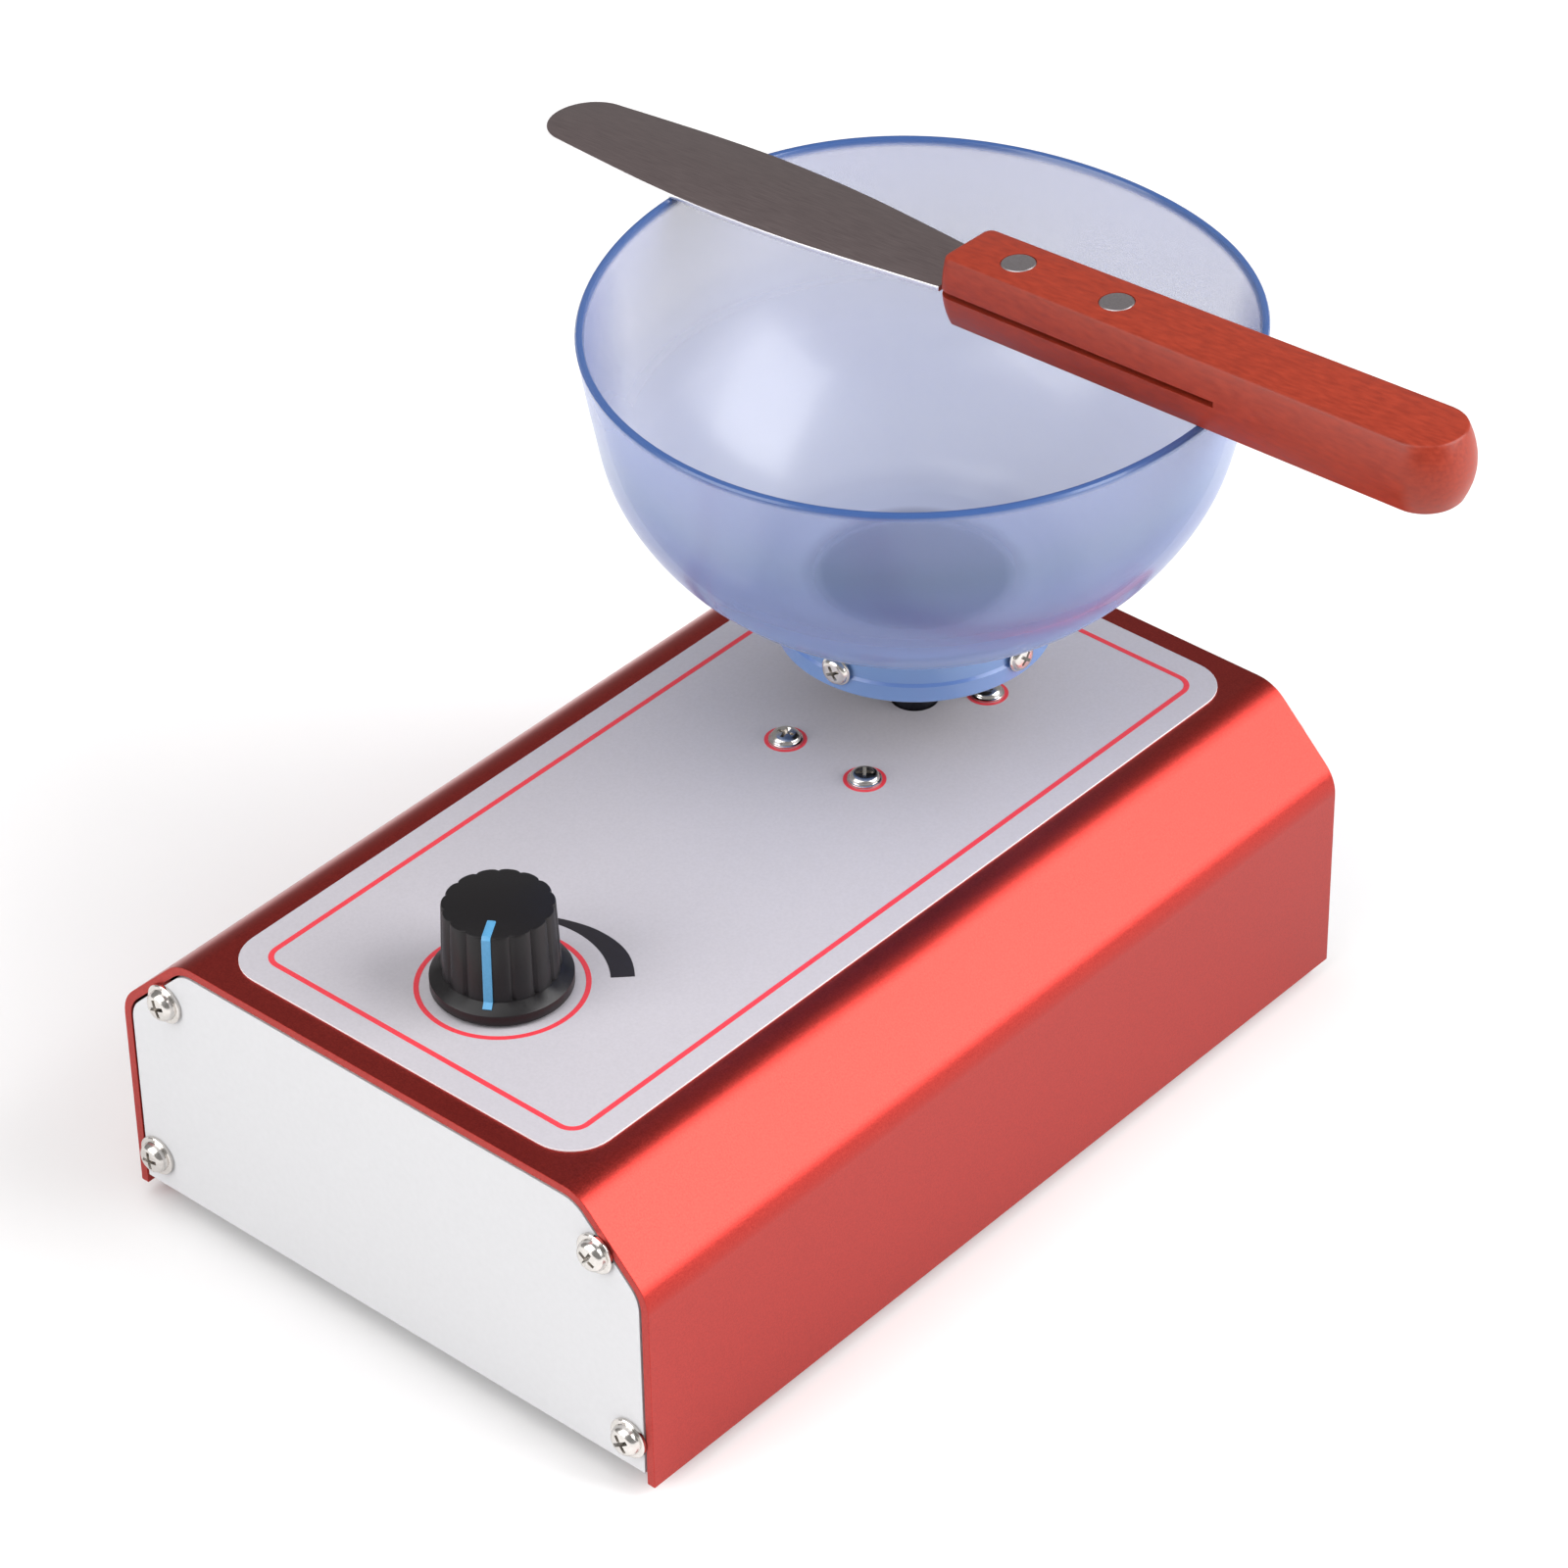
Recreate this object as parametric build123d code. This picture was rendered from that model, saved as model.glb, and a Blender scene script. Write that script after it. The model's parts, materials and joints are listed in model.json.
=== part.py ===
from build123d import *
import math
import os

# A bench-top mixer for dental impression material, built as separate pieces. Millimetres, +Z up.
# The origin is on the bench, under the middle of the enclosure. The front panel faces -Y.

os.makedirs("parts", exist_ok=True)

# ---------------------------------------------------------------- enclosure
COVER_WIDTH = 119.0
COVER_LENGTH = 179.8
COVER_HEIGHT = 54.5
COVER_CHAMFER = 14.4
COVER_BEND_RADIUS = 8.0
COVER_WALL = 1.6
FOOT_STANDOFF = 3.0  # bench to the lower edge of the cover
PANEL_THICKNESS = 2.0
PANEL_GAP = 0.45  # between a panel's edge and the cover's inner wall
PANEL_BOTTOM = 2.1  # above the cover's lower edge
BASE_THICKNESS = 1.5
BASE_ABOVE_EDGE = 1.9
PORT_RADIUS = 3.6
PORT_HOLE_RADIUS = 1.45
BOLT_HOLE_RADIUS = 1.7  # clears an M3 screw
SMALL_HOLE_RADIUS = 1.5
UPPER_SCREW_X = 48.7
UPPER_SCREW_HEIGHT = 44.4
LOWER_SCREW_X = 54.4
LOWER_SCREW_HEIGHT = 8.3
FACEPLATE_WIDTH = 80.4
FACEPLATE_LENGTH = 170.4
FACEPLATE_CENTRE_Y = 0.2
FACEPLATE_CORNER = 8.0
FACEPLATE_THICKNESS = 0.3
FOOT_RADIUS = 7.0
FOOT_X = 38.0
FOOT_Y = 66.0
FOOT_POCKET = 2.6  # depth of the pocket for the foot's screw

# ---------------------------------------------------------------- drive
SHAFT_Y = 45.8
SHAFT_RADIUS = 4.0
SHAFT_FLAT = 0.5  # depth of the flat for the set screw
RUNNING_FIT = 0.05
BODY_GAP = 0.3  # between pieces that move past each other
GEARBOX_SCREW_X = 9.0
GEARBOX_SCREW_REAR = 9.0  # behind the shaft
GEARBOX_SCREW_FRONT = 24.0  # in front of the shaft
GEARBOX_LEFT = -15.0
GEARBOX_RIGHT = 25.0
GEARBOX_LENGTH = 58.0
GEARBOX_REAR = SHAFT_Y + GEARBOX_SCREW_REAR + 7.0
GEARBOX_LID = 2.5
GEARBOX_CORNER = 3.0
GEARBOX_FLANGE = 4.2  # wall that the motor is screwed to
BUSH_RADIUS = 6.0
WORM_BUSH_RADIUS = 4.0
WHEEL_BOSS_RADIUS = 5.5
SMALL_THREAD_RADIUS = 1.3  # holes for the gearbox's small screws
GEAR_MODULE = 1.0
WHEEL_TEETH = 20
WHEEL_FACE = 8.0
WORM_PITCH_RADIUS = 5.0
WORM_LENGTH = 19.0
WORM_TURNS = 5
PRESSURE_ANGLE = 20.0
MOTOR_RADIUS = 15.5
MOTOR_LENGTH = 50.0
MOTOR_WALL = 1.2
MOTOR_SHAFT_RADIUS = 2.0
MOTOR_CAP = 4.0
MOTOR_TAG_REACH = 9.0  # from the motor's axis
MOTOR_BOSS_RADIUS = 3.0
ARMATURE_SLOTS = 5

# ---------------------------------------------------------------- bowl
BOWL_RIM_RADIUS = 58.4
BOWL_RIM_FACE = 1.5
BOWL_RIM_Z = 135.8
BOWL_OUTER_KNOTS = ((52.9, 110.2), (40.0, 92.4))  # radius and height, from the rim down
BOWL_INNER_KNOTS = ((51.0, 110.8), (38.9, 93.8))
BOWL_FLOOR_Z = 84.6
BOWL_FLOOR_RADIUS = 23.0
COLLAR_RADIUS = 24.2
COLLAR_WAIST = 23.8  # radius above the step
COLLAR_STEP_Z = 77.6
COLLAR_TOP_Z = 82.3
COLLAR_BOTTOM_Z = 73.8
COLLAR_SCREW_Z = 78.1
COLLAR_SCREW_ANGLES = (-83.0, -2.0, 97.0, 178.0)
HUB_RADIUS = 18.1
HUB_TOP_Z = 82.9
HUB_BOSS_RADIUS = 8.0
HUB_BOSS_Z = 64.5
SHAFT_TOP_Z = 80.6
SET_SCREW_Z = 69.0

# ---------------------------------------------------------------- speed control
KNOB_Y = -59.2
KNOB_SKIRT_RADIUS = 12.0
KNOB_SKIRT_HEIGHT = 2.2
KNOB_GRIP_RADIUS = 9.95
KNOB_GRIP_Z = 3.4  # foot of the grip, above the knob's lower edge
KNOB_TOP_RADIUS = 9.45
KNOB_HEIGHT = 16.2
KNOB_LOBES = 15
KNOB_LOBE_DEPTH = 0.4
POINTER_ANGLE = -59.0
POINTER_WIDTH = 1.5
POINTER_START = 4.9  # from the knob's axis
CONTROL_BUSH_RADIUS = 3.5
CONTROL_SHAFT_RADIUS = 3.0

# ---------------------------------------------------------------- spatula
SPATULA_TIP = (-93.4, 59.2)
SPATULA_YAW = -1.3
SPATULA_LENGTH = 200.0
SPATULA_GAP = 0.2  # above the rim
BLADE_EXPOSED = 95.0
BLADE_THICKNESS = 1.0
BLADE_TIP_RADIUS = 7.9
BLADE_WIDEST = (42.0, 10.5)  # distance from the tip and half width
BLADE_NARROWING = (66.0, 9.7)
BLADE_SHOULDER = 6.5  # half width at the handle
TANG_LENGTH = 46.0
TANG_WIDTH = 8.0
HANDLE_UP = 6.3  # handle above the blade's mid plane
HANDLE_DOWN = 6.7
HANDLE_FRONT_WIDTH = 14.8
HANDLE_BUTT_WIDTH = 16.6
HANDLE_BULGE = 1.2  # beyond the upper flat face
HANDLE_UNDER_BULGE = 2.0  # beyond the lower flat face
HANDLE_FRONT_BULGE = 0.6
HANDLE_CORNER = 1.2
KERF_LENGTH = 60.0
KERF_WIDTH = 1.1
RIVET_RADIUS = 3.05
RIVET_FROM_HANDLE = (12.3, 33.5)

# ---------------------------------------------------------------- rear panel
INLET_X = 24.0
INLET_HEIGHT = 27.0
INLET_SCREW_REACH = 20.0
INLET_FLANGE = 3.0
SWITCH_X = -28.0
SWITCH_HEIGHT = 33.0
SWITCH_TAG_DROP = 6.5  # from the upper tag to the lower one
ROCKER_TRAVEL = 20.0
ROCKER_PIVOT = 0.6  # behind the panel's outer face
ROCKER_PIN_RADIUS = 1.2

# ---------------------------------------------------------------- power and control
TRANSFORMER_X = -34.0
TRANSFORMER_Y = 30.0
TRANSFORMER_BACK = 33.0  # length of the laminations
TRANSFORMER_STACK = 22.0
TRANSFORMER_RISE = 28.0
TRANSFORMER_COIL = 5.0  # how far the winding stands out of the stack
BOARD_LEFT = -48.0
BOARD_RIGHT = 12.0
BOARD_FRONT = -78.0
BOARD_REAR = -18.0
STANDOFF_HEIGHT = 6.0
BOARD_THICKNESS = 1.6
CAPACITOR_PLACE = (-37.0, -58.0)
CAPACITOR_RADIUS = 8.0
CAPACITOR_HEIGHT = 25.0
HEAT_SINK_LEFT = -38.0
HEAT_SINK_WIDTH = 30.0
HEAT_SINK_FRONT = -30.0
HEAT_SINK_DEPTH = 10.0
HEAT_SINK_HEIGHT = 24.0
HEAT_SINK_FINS = 7
TERMINAL_LEFT = -18.0
TERMINAL_FRONT = -77.0
TERMINAL_WAYS = 4
TERMINAL_PITCH = 5.0
FUSE_LEFT = -22.0
FUSE_LENGTH = 20.0
FUSE_Y = -55.0
FUSE_RADIUS = 2.5
LEAD_RADIUS = 0.9
LEAD_BEND = 2.5

# ---------------------------------------------------------------- worked out from the sizes above
EDGE_Z = FOOT_STANDOFF
TOP_Z = EDGE_Z + COVER_HEIGHT
UNDER_TOP_Z = TOP_Z - COVER_WALL
FACE_Z = TOP_Z + FACEPLATE_THICKNESS
FRONT_Y = -COVER_LENGTH / 2
REAR_Y = COVER_LENGTH / 2
PANEL_INNER_Y = REAR_Y - PANEL_THICKNESS
BASE_Z = EDGE_Z + BASE_ABOVE_EDGE
BASE_TOP_Z = BASE_Z + BASE_THICKNESS
UPPER_SCREW_Z = EDGE_Z + UPPER_SCREW_HEIGHT
LOWER_SCREW_Z = EDGE_Z + LOWER_SCREW_HEIGHT
WHEEL_PITCH_RADIUS = GEAR_MODULE * WHEEL_TEETH / 2
MOTOR_X = WHEEL_PITCH_RADIUS + WORM_PITCH_RADIUS
MOTOR_Z = UNDER_TOP_Z - MOTOR_RADIUS - 0.5
GEARBOX_FRONT = GEARBOX_REAR - GEARBOX_LENGTH
GEARBOX_LID_TOP = MOTOR_Z - 7.5
GEARBOX_BOTTOM = GEARBOX_LID_TOP - GEARBOX_LID
MOTOR_FRONT = GEARBOX_FRONT
MOTOR_REAR = MOTOR_FRONT - MOTOR_LENGTH
KNOB_Z = FACE_Z + 0.5
INLET_Z = EDGE_Z + INLET_HEIGHT
SWITCH_Z = EDGE_Z + SWITCH_HEIGHT
INLET_PIN_REAR = REAR_Y - 22
SWITCH_TAG_REAR = REAR_Y - 21
BOARD_Z = BASE_TOP_Z + STANDOFF_HEIGHT
BOARD_TOP = BOARD_Z + BOARD_THICKNESS
COIL_TOP_Z = BASE_TOP_Z + 1.0 + TRANSFORMER_RISE - 5.7
STAND = (Align.CENTER, Align.CENTER, Align.MIN)


# ---------------------------------------------------------------- shared shapes
def block(x0, x1, y0, y1, z0, z1):
    """Rectangular solid between two corners."""
    centre = Pos((x0 + x1) / 2, (y0 + y1) / 2, (z0 + z1) / 2)
    return centre * Box(x1 - x0, y1 - y0, z1 - z0)


def rod(radius, start, end):
    """Round bar between two points."""
    axis = Vector(*end) - Vector(*start)
    return Plane(origin=start, z_dir=axis) * Cylinder(radius, axis.length, align=STAND)


def ring(outer, inner, start, end):
    """Round tube between two points."""
    return rod(outer, start, end) - rod(inner, start, end)


def upright(radius, x, y, z0, z1):
    """Round bar along Z."""
    return rod(radius, (x, y, z0), (x, y, z1))


def revolved(outline, x=0.0, y=0.0):
    """Solid of revolution about a vertical axis, from an outline of radius and height."""
    return Pos(x, y, 0) * revolve(Plane.XZ * outline, Axis.Z)


def polygon(points):
    """Flat face inside a closed run of points."""
    return make_face(Polyline(*points, close=True))


def along_y(outline, y0, y1):
    """Prism along Y from an outline drawn in X and Z."""
    return extrude(Plane.XZ.offset(-y1) * outline, amount=y1 - y0)


def pan_screw(head_radius, head_height, shank_radius, shank_length, flange_radius=0.0):
    """Cross-recessed screw that stands on z = 0, with its shank below."""
    head = Cylinder(head_radius, head_height, align=STAND)
    head = fillet(head.edges().sort_by(Axis.Z)[-1], head_height * 0.45)
    if flange_radius:
        head += Cylinder(flange_radius, head_height * 0.3, align=STAND)
    recess_length = head_radius * 1.15
    recess_width = head_radius * 0.3
    bar = Box(recess_length, recess_width, head_height)
    cross = Pos(0, 0, head_height) * (bar + Rot(0, 0, 90) * bar)
    shank = Pos(0, 0, -shank_length) * Cylinder(shank_radius, shank_length, align=STAND)
    return head + shank - cross


def placed(screw, point, direction):
    """A screw whose head sits at point and faces along direction."""
    return Plane(origin=point, z_dir=direction) * screw


def save(name, *shapes):
    """Write one named piece, or a group of alike pieces, to its own file."""
    solids = [solid for shape in shapes for solid in shape.solids()]
    export_step(Compound(solids), f"parts/{name}.step")


# ---------------------------------------------------------------- enclosure
def channel_outline(inset, bottom):
    """The cover's contour, moved inwards by inset, down to the height bottom."""
    half = COVER_WIDTH / 2 - inset
    top = TOP_Z - inset
    leg = COVER_CHAMFER - inset * (2 - math.sqrt(2))
    radius = COVER_BEND_RADIUS - inset
    shoulder = [(half, top - leg), (half - leg, top)]
    mirrored = [(-x, z) for x, z in reversed(shoulder)]
    outline = polygon([(half, bottom)] + shoulder + mirrored + [(-half, bottom)])
    bends = [vertex for vertex in outline.vertices() if vertex.Y > bottom + 1]
    return fillet(bends, radius)


def panel_screw_places():
    """The four screw places of a panel, in X and Z."""
    upper = [(side * UPPER_SCREW_X, UPPER_SCREW_Z) for side in (-1, 1)]
    lower = [(side * LOWER_SCREW_X, LOWER_SCREW_Z) for side in (-1, 1)]
    return upper + lower


def gearbox_screw_places():
    """The four screws that hold the gearbox under the cover, in X and Y."""
    rows = (SHAFT_Y - GEARBOX_SCREW_FRONT, SHAFT_Y + GEARBOX_SCREW_REAR)
    return [(side * GEARBOX_SCREW_X, row) for side in (-1, 1) for row in rows]


def top_holes(solid, z0, z1):
    """Cut the shaft, screw and speed control holes through the top."""
    solid -= upright(SHAFT_RADIUS + BODY_GAP, 0, SHAFT_Y, z0, z1)
    solid -= upright(CONTROL_BUSH_RADIUS + 0.1, 0, KNOB_Y, z0, z1)
    for x, y in gearbox_screw_places():
        solid -= upright(BOLT_HOLE_RADIUS, x, y, z0, z1)
    return solid


def make_top_cover():
    """Aluminium channel with screw ports and a groove for the base plate."""
    inner = channel_outline(COVER_WALL, EDGE_Z - 1)
    solid = along_y(channel_outline(0, EDGE_Z), FRONT_Y, REAR_Y) - along_y(inner, FRONT_Y, REAR_Y)
    for x, z in panel_screw_places():
        solid += rod(PORT_RADIUS, (x, -PANEL_INNER_Y, z), (x, PANEL_INNER_Y, z))
    wall_x = COVER_WIDTH / 2 - COVER_WALL
    lip_x = wall_x - 2.6
    groove_top = BASE_TOP_Z + 0.2
    for side in (-1, 1):
        near, far = sorted((side * lip_x, side * (wall_x + 0.5)))
        solid += block(near, far, -PANEL_INNER_Y, PANEL_INNER_Y, EDGE_Z, BASE_Z - 0.2)
        solid += block(near, far, -PANEL_INNER_Y, PANEL_INNER_Y, groove_top, groove_top + 1.2)
    for x, z in panel_screw_places():
        solid -= rod(PORT_HOLE_RADIUS, (x, FRONT_Y, z), (x, REAR_Y, z))
    return top_holes(solid, UNDER_TOP_Z - 1, TOP_Z + 1)


def make_faceplate():
    """Printed overlay with rounded corners, stuck on the cover."""
    sheet = RectangleRounded(FACEPLATE_WIDTH, FACEPLATE_LENGTH, FACEPLATE_CORNER)
    solid = extrude(Pos(0, FACEPLATE_CENTRE_Y, TOP_Z) * sheet, amount=FACEPLATE_THICKNESS)
    return top_holes(solid, TOP_Z - 1, FACE_Z + 1)


def make_panel(y0):
    """Flat panel that sits inside the end of the cover."""
    outline = channel_outline(COVER_WALL + PANEL_GAP, EDGE_Z + PANEL_BOTTOM)
    solid = along_y(outline, y0, y0 + PANEL_THICKNESS)
    for x, z in panel_screw_places():
        solid -= rod(BOLT_HOLE_RADIUS, (x, y0 - 1, z), (x, y0 + PANEL_THICKNESS + 1, z))
    return solid


def foot_places():
    """The four feet, in X and Y."""
    return [(x, y) for x in (-FOOT_X, FOOT_X) for y in (-FOOT_Y, FOOT_Y)]


def make_base_plate():
    """Sheet that slides into the cover's groove."""
    half = COVER_WIDTH / 2 - COVER_WALL - 0.3
    solid = block(-half, half, -PANEL_INNER_Y, PANEL_INNER_Y, BASE_Z, BASE_TOP_Z)
    for x, y in foot_places() + standoff_places() + transformer_screw_places():
        solid -= upright(SMALL_HOLE_RADIUS, x, y, BASE_Z - 1, BASE_TOP_Z + 1)
    return solid


def make_foot(x, y):
    """Rubber foot with a pocket for its screw's head."""
    solid = Pos(x, y, 0) * Cone(FOOT_RADIUS - 1, FOOT_RADIUS, BASE_Z, align=STAND)
    solid -= upright(3.2, x, y, -1, FOOT_POCKET)
    return solid - upright(SMALL_HOLE_RADIUS, x, y, -1, BASE_Z + 1)


def make_rear_panel():
    """Panel with the inlet's and the switch's openings."""
    solid = make_panel(PANEL_INNER_Y)
    inside = PANEL_INNER_Y - 1
    outside = REAR_Y + 1
    solid -= along_y(Pos(INLET_X, INLET_Z) * Rectangle(27.6, 20.2), inside, outside)
    solid -= along_y(Pos(SWITCH_X, SWITCH_Z) * Rectangle(13.2, 19.4), inside, outside)
    for x, z in inlet_screw_places():
        solid -= rod(BOLT_HOLE_RADIUS, (x, inside, z), (x, outside, z))
    return solid


def write_enclosure():
    """Cover, face plate, panels, base plate and feet, with their screws."""
    save("top_cover", make_top_cover())
    save("faceplate", make_faceplate())
    save("front_panel", make_panel(FRONT_Y))
    save("rear_panel", make_rear_panel())
    save("base_plate", make_base_plate())
    screw = pan_screw(2.8, 2.5, 1.4, 9.0, flange_radius=3.7)
    front = [placed(screw, (x, FRONT_Y, z), (0, -1, 0)) for x, z in panel_screw_places()]
    rear = [placed(screw, (x, REAR_Y, z), (0, 1, 0)) for x, z in panel_screw_places()]
    save("panel_screws", *front, *rear)
    save("rubber_feet", *[make_foot(x, y) for x, y in foot_places()])
    foot_screw = pan_screw(2.8, 1.8, 1.4, 6.0)
    save("foot_screws", *[placed(foot_screw, (x, y, FOOT_POCKET), (0, 0, -1)) for x, y in foot_places()])


# ---------------------------------------------------------------- gearbox
def gearbox_lid_screw_places():
    """The four screws of the gearbox lid, in X and Y."""
    inset = 3.2
    columns = (GEARBOX_LEFT + inset, GEARBOX_RIGHT - inset)
    rows = (GEARBOX_FRONT + inset, GEARBOX_REAR - inset)
    return [(x, y) for x in columns for y in rows]


def gearbox_block(z0, z1):
    """Block of the gearbox's outline, with round upright corners."""
    solid = block(GEARBOX_LEFT, GEARBOX_RIGHT, GEARBOX_FRONT, GEARBOX_REAR, z0, z1)
    return fillet(solid.edges().filter_by(Axis.Z), GEARBOX_CORNER)


def make_gearbox_housing():
    """Cast housing, open at the bottom, with rooms for the wheel, the worm and the motor screws."""
    solid = gearbox_block(GEARBOX_LID_TOP, UNDER_TOP_Z)
    wheel_room = WHEEL_PITCH_RADIUS + GEAR_MODULE + 0.8
    worm_room = WORM_PITCH_RADIUS + GEAR_MODULE + 0.6
    solid -= upright(wheel_room, 0, SHAFT_Y, GEARBOX_LID_TOP - 1, MOTOR_Z + WHEEL_FACE / 2 + 2)
    room_front = SHAFT_Y - WORM_LENGTH / 2 - 1.5
    room_rear = SHAFT_Y + WORM_LENGTH / 2 + 1.5
    solid -= rod(worm_room, (MOTOR_X, room_front, MOTOR_Z), (MOTOR_X, room_rear, MOTOR_Z))
    worm_left = MOTOR_X - worm_room
    worm_right = MOTOR_X + worm_room
    solid -= block(worm_left, worm_right, room_front, room_rear, GEARBOX_LID_TOP - 1, MOTOR_Z)
    screw_room_front = GEARBOX_FRONT + GEARBOX_FLANGE
    solid -= block(MOTOR_X - 12, MOTOR_X + 8, screw_room_front, room_front - 3.5, GEARBOX_LID_TOP - 1,
                   MOTOR_Z + 9)
    solid -= rod(MOTOR_BOSS_RADIUS, on_motor_axis(GEARBOX_FRONT - 1), on_motor_axis(room_front + 1))
    solid -= rod(WORM_BUSH_RADIUS, on_motor_axis(room_rear - 1), on_motor_axis(GEARBOX_REAR + 1))
    solid -= upright(BUSH_RADIUS, 0, SHAFT_Y, MOTOR_Z, UNDER_TOP_Z + 1)
    for x, y in gearbox_screw_places():
        solid -= upright(SMALL_HOLE_RADIUS, x, y, UNDER_TOP_Z - 9, UNDER_TOP_Z + 1)
    for x, y in gearbox_lid_screw_places():
        solid -= upright(SMALL_THREAD_RADIUS, x, y, GEARBOX_LID_TOP - 1, GEARBOX_LID_TOP + 8)
    for x in motor_screw_columns():
        solid -= rod(SMALL_THREAD_RADIUS, (x, GEARBOX_FRONT - 1, MOTOR_Z), (x, screw_room_front + 1, MOTOR_Z))
    return solid


def make_gearbox_lid():
    """Lid under the housing, with a seat for the lower bush."""
    solid = gearbox_block(GEARBOX_BOTTOM, GEARBOX_LID_TOP)
    solid -= upright(BUSH_RADIUS, 0, SHAFT_Y, GEARBOX_BOTTOM - 1, GEARBOX_LID_TOP + 1)
    for x, y in gearbox_lid_screw_places():
        solid -= upright(SMALL_HOLE_RADIUS, x, y, GEARBOX_BOTTOM - 1, GEARBOX_LID_TOP + 1)
    return solid


def tooth_half_width(radius):
    """Half the thickness of a wheel tooth at a radius."""
    at_pitch = GEAR_MODULE * math.pi / 4 * 0.94
    return at_pitch - (radius - WHEEL_PITCH_RADIUS) * math.tan(math.radians(PRESSURE_ANGLE))


def make_worm_wheel():
    """Wheel whose teeth lean with the worm's thread. A gap faces the worm at +X."""
    tip = WHEEL_PITCH_RADIUS + GEAR_MODULE
    root = WHEEL_PITCH_RADIUS - 1.25 * GEAR_MODULE
    points = []
    for tooth in range(WHEEL_TEETH):
        middle = (tooth + 0.5) * 2 * math.pi / WHEEL_TEETH
        for radius, side in ((root, -1), (tip, -1), (tip, 1), (root, 1)):
            angle = middle + side * tooth_half_width(radius) / radius
            points.append((radius * math.cos(angle), radius * math.sin(angle)))
    outline = polygon(points)
    lean = math.degrees(GEAR_MODULE / (2 * WORM_PITCH_RADIUS) * WHEEL_FACE / WHEEL_PITCH_RADIUS)
    lower = Pos(0, 0, MOTOR_Z - WHEEL_FACE / 2) * Rot(0, 0, -lean / 2) * outline
    upper = Pos(0, 0, MOTOR_Z + WHEEL_FACE / 2) * Rot(0, 0, lean / 2) * outline
    blank = Pos(0, SHAFT_Y, 0) * loft([lower, upper], ruled=True)
    boss_top = MOTOR_Z + WHEEL_FACE / 2 + 2 - BODY_GAP
    blank += upright(WHEEL_BOSS_RADIUS, 0, SHAFT_Y, MOTOR_Z, boss_top)
    return blank - upright(SHAFT_RADIUS, 0, SHAFT_Y, MOTOR_Z - WHEEL_FACE, MOTOR_Z + WHEEL_FACE)


def make_worm():
    """One-start right-hand worm. Its thread fills the wheel's gap at rest."""
    lead = math.pi * GEAR_MODULE
    core_radius = WORM_PITCH_RADIUS - 1.25 * GEAR_MODULE
    tip_radius = WORM_PITCH_RADIUS + GEAR_MODULE
    base_radius = core_radius - 0.4
    slope = math.tan(math.radians(PRESSURE_ANGLE))
    at_pitch = GEAR_MODULE * math.pi / 4 * 0.8
    base_half = at_pitch + (WORM_PITCH_RADIUS - base_radius) * slope
    tip_half = at_pitch - (tip_radius - WORM_PITCH_RADIUS) * slope
    section = polygon([(base_radius, -base_half), (tip_radius, -tip_half), (tip_radius, tip_half),
                       (base_radius, base_half)])
    path = Helix(lead, lead * WORM_TURNS, WORM_PITCH_RADIUS)
    thread = Pos(0, 0, -lead * WORM_TURNS / 2) * sweep(Plane.XZ * section, path=path, is_frenet=True)
    worm = thread + Cylinder(core_radius, WORM_LENGTH) - Cylinder(MOTOR_SHAFT_RADIUS, WORM_LENGTH + 1)
    return Pos(MOTOR_X, SHAFT_Y, MOTOR_Z) * Rot(-90, 0, 0) * worm


def write_gearbox():
    """Housing, lid, bushes and screws."""
    save("gearbox_housing", make_gearbox_housing())
    save("gearbox_lid", make_gearbox_lid())
    mount_screw = pan_screw(3.0, 2.4, 1.45, 9.0)
    heads = [placed(mount_screw, (x, y, FACE_Z), (0, 0, 1)) for x, y in gearbox_screw_places()]
    save("gearbox_mount_screws", *heads)
    small_screw = pan_screw(2.2, 1.6, 1.25, 6.5)
    places = gearbox_lid_screw_places()
    heads = [placed(small_screw, (x, y, GEARBOX_BOTTOM), (0, 0, -1)) for x, y in places]
    wall_y = GEARBOX_FRONT + GEARBOX_FLANGE
    heads += [placed(small_screw, (x, wall_y, MOTOR_Z), (0, 1, 0)) for x in motor_screw_columns()]
    save("gearbox_screws", *heads)
    bore = SHAFT_RADIUS + RUNNING_FIT
    seats = ((MOTOR_Z + WHEEL_FACE / 2 + 2, UNDER_TOP_Z), (GEARBOX_BOTTOM, GEARBOX_LID_TOP))
    save("output_bushes", *[ring(BUSH_RADIUS, bore, (0, SHAFT_Y, z0), (0, SHAFT_Y, z1)) for z0, z1 in seats])
    worm_end = SHAFT_Y + WORM_LENGTH / 2 + 1.5
    worm_bore = MOTOR_SHAFT_RADIUS + RUNNING_FIT
    save("worm_bush", ring(WORM_BUSH_RADIUS, worm_bore, on_motor_axis(worm_end), on_motor_axis(GEARBOX_REAR)))


# ---------------------------------------------------------------- motor
def motor_screw_columns():
    """X of the two screws that hold the motor to the gearbox."""
    return (MOTOR_X - 5.8, MOTOR_X + 5.8)


def on_motor_axis(y):
    """The point of the motor's axis at y."""
    return (MOTOR_X, y, MOTOR_Z)


def make_motor_can():
    """Drawn steel can, closed towards the gearbox."""
    solid = rod(MOTOR_RADIUS, on_motor_axis(MOTOR_REAR + MOTOR_CAP), on_motor_axis(MOTOR_FRONT))
    inner = MOTOR_RADIUS - MOTOR_WALL
    solid -= rod(inner, on_motor_axis(MOTOR_REAR), on_motor_axis(MOTOR_FRONT - MOTOR_WALL))
    solid -= rod(MOTOR_BOSS_RADIUS, on_motor_axis(MOTOR_FRONT - 3), on_motor_axis(MOTOR_FRONT + 1))
    for x in motor_screw_columns():
        solid -= rod(SMALL_THREAD_RADIUS, (x, MOTOR_FRONT - 3, MOTOR_Z), (x, MOTOR_FRONT + 1, MOTOR_Z))
    return solid


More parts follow.
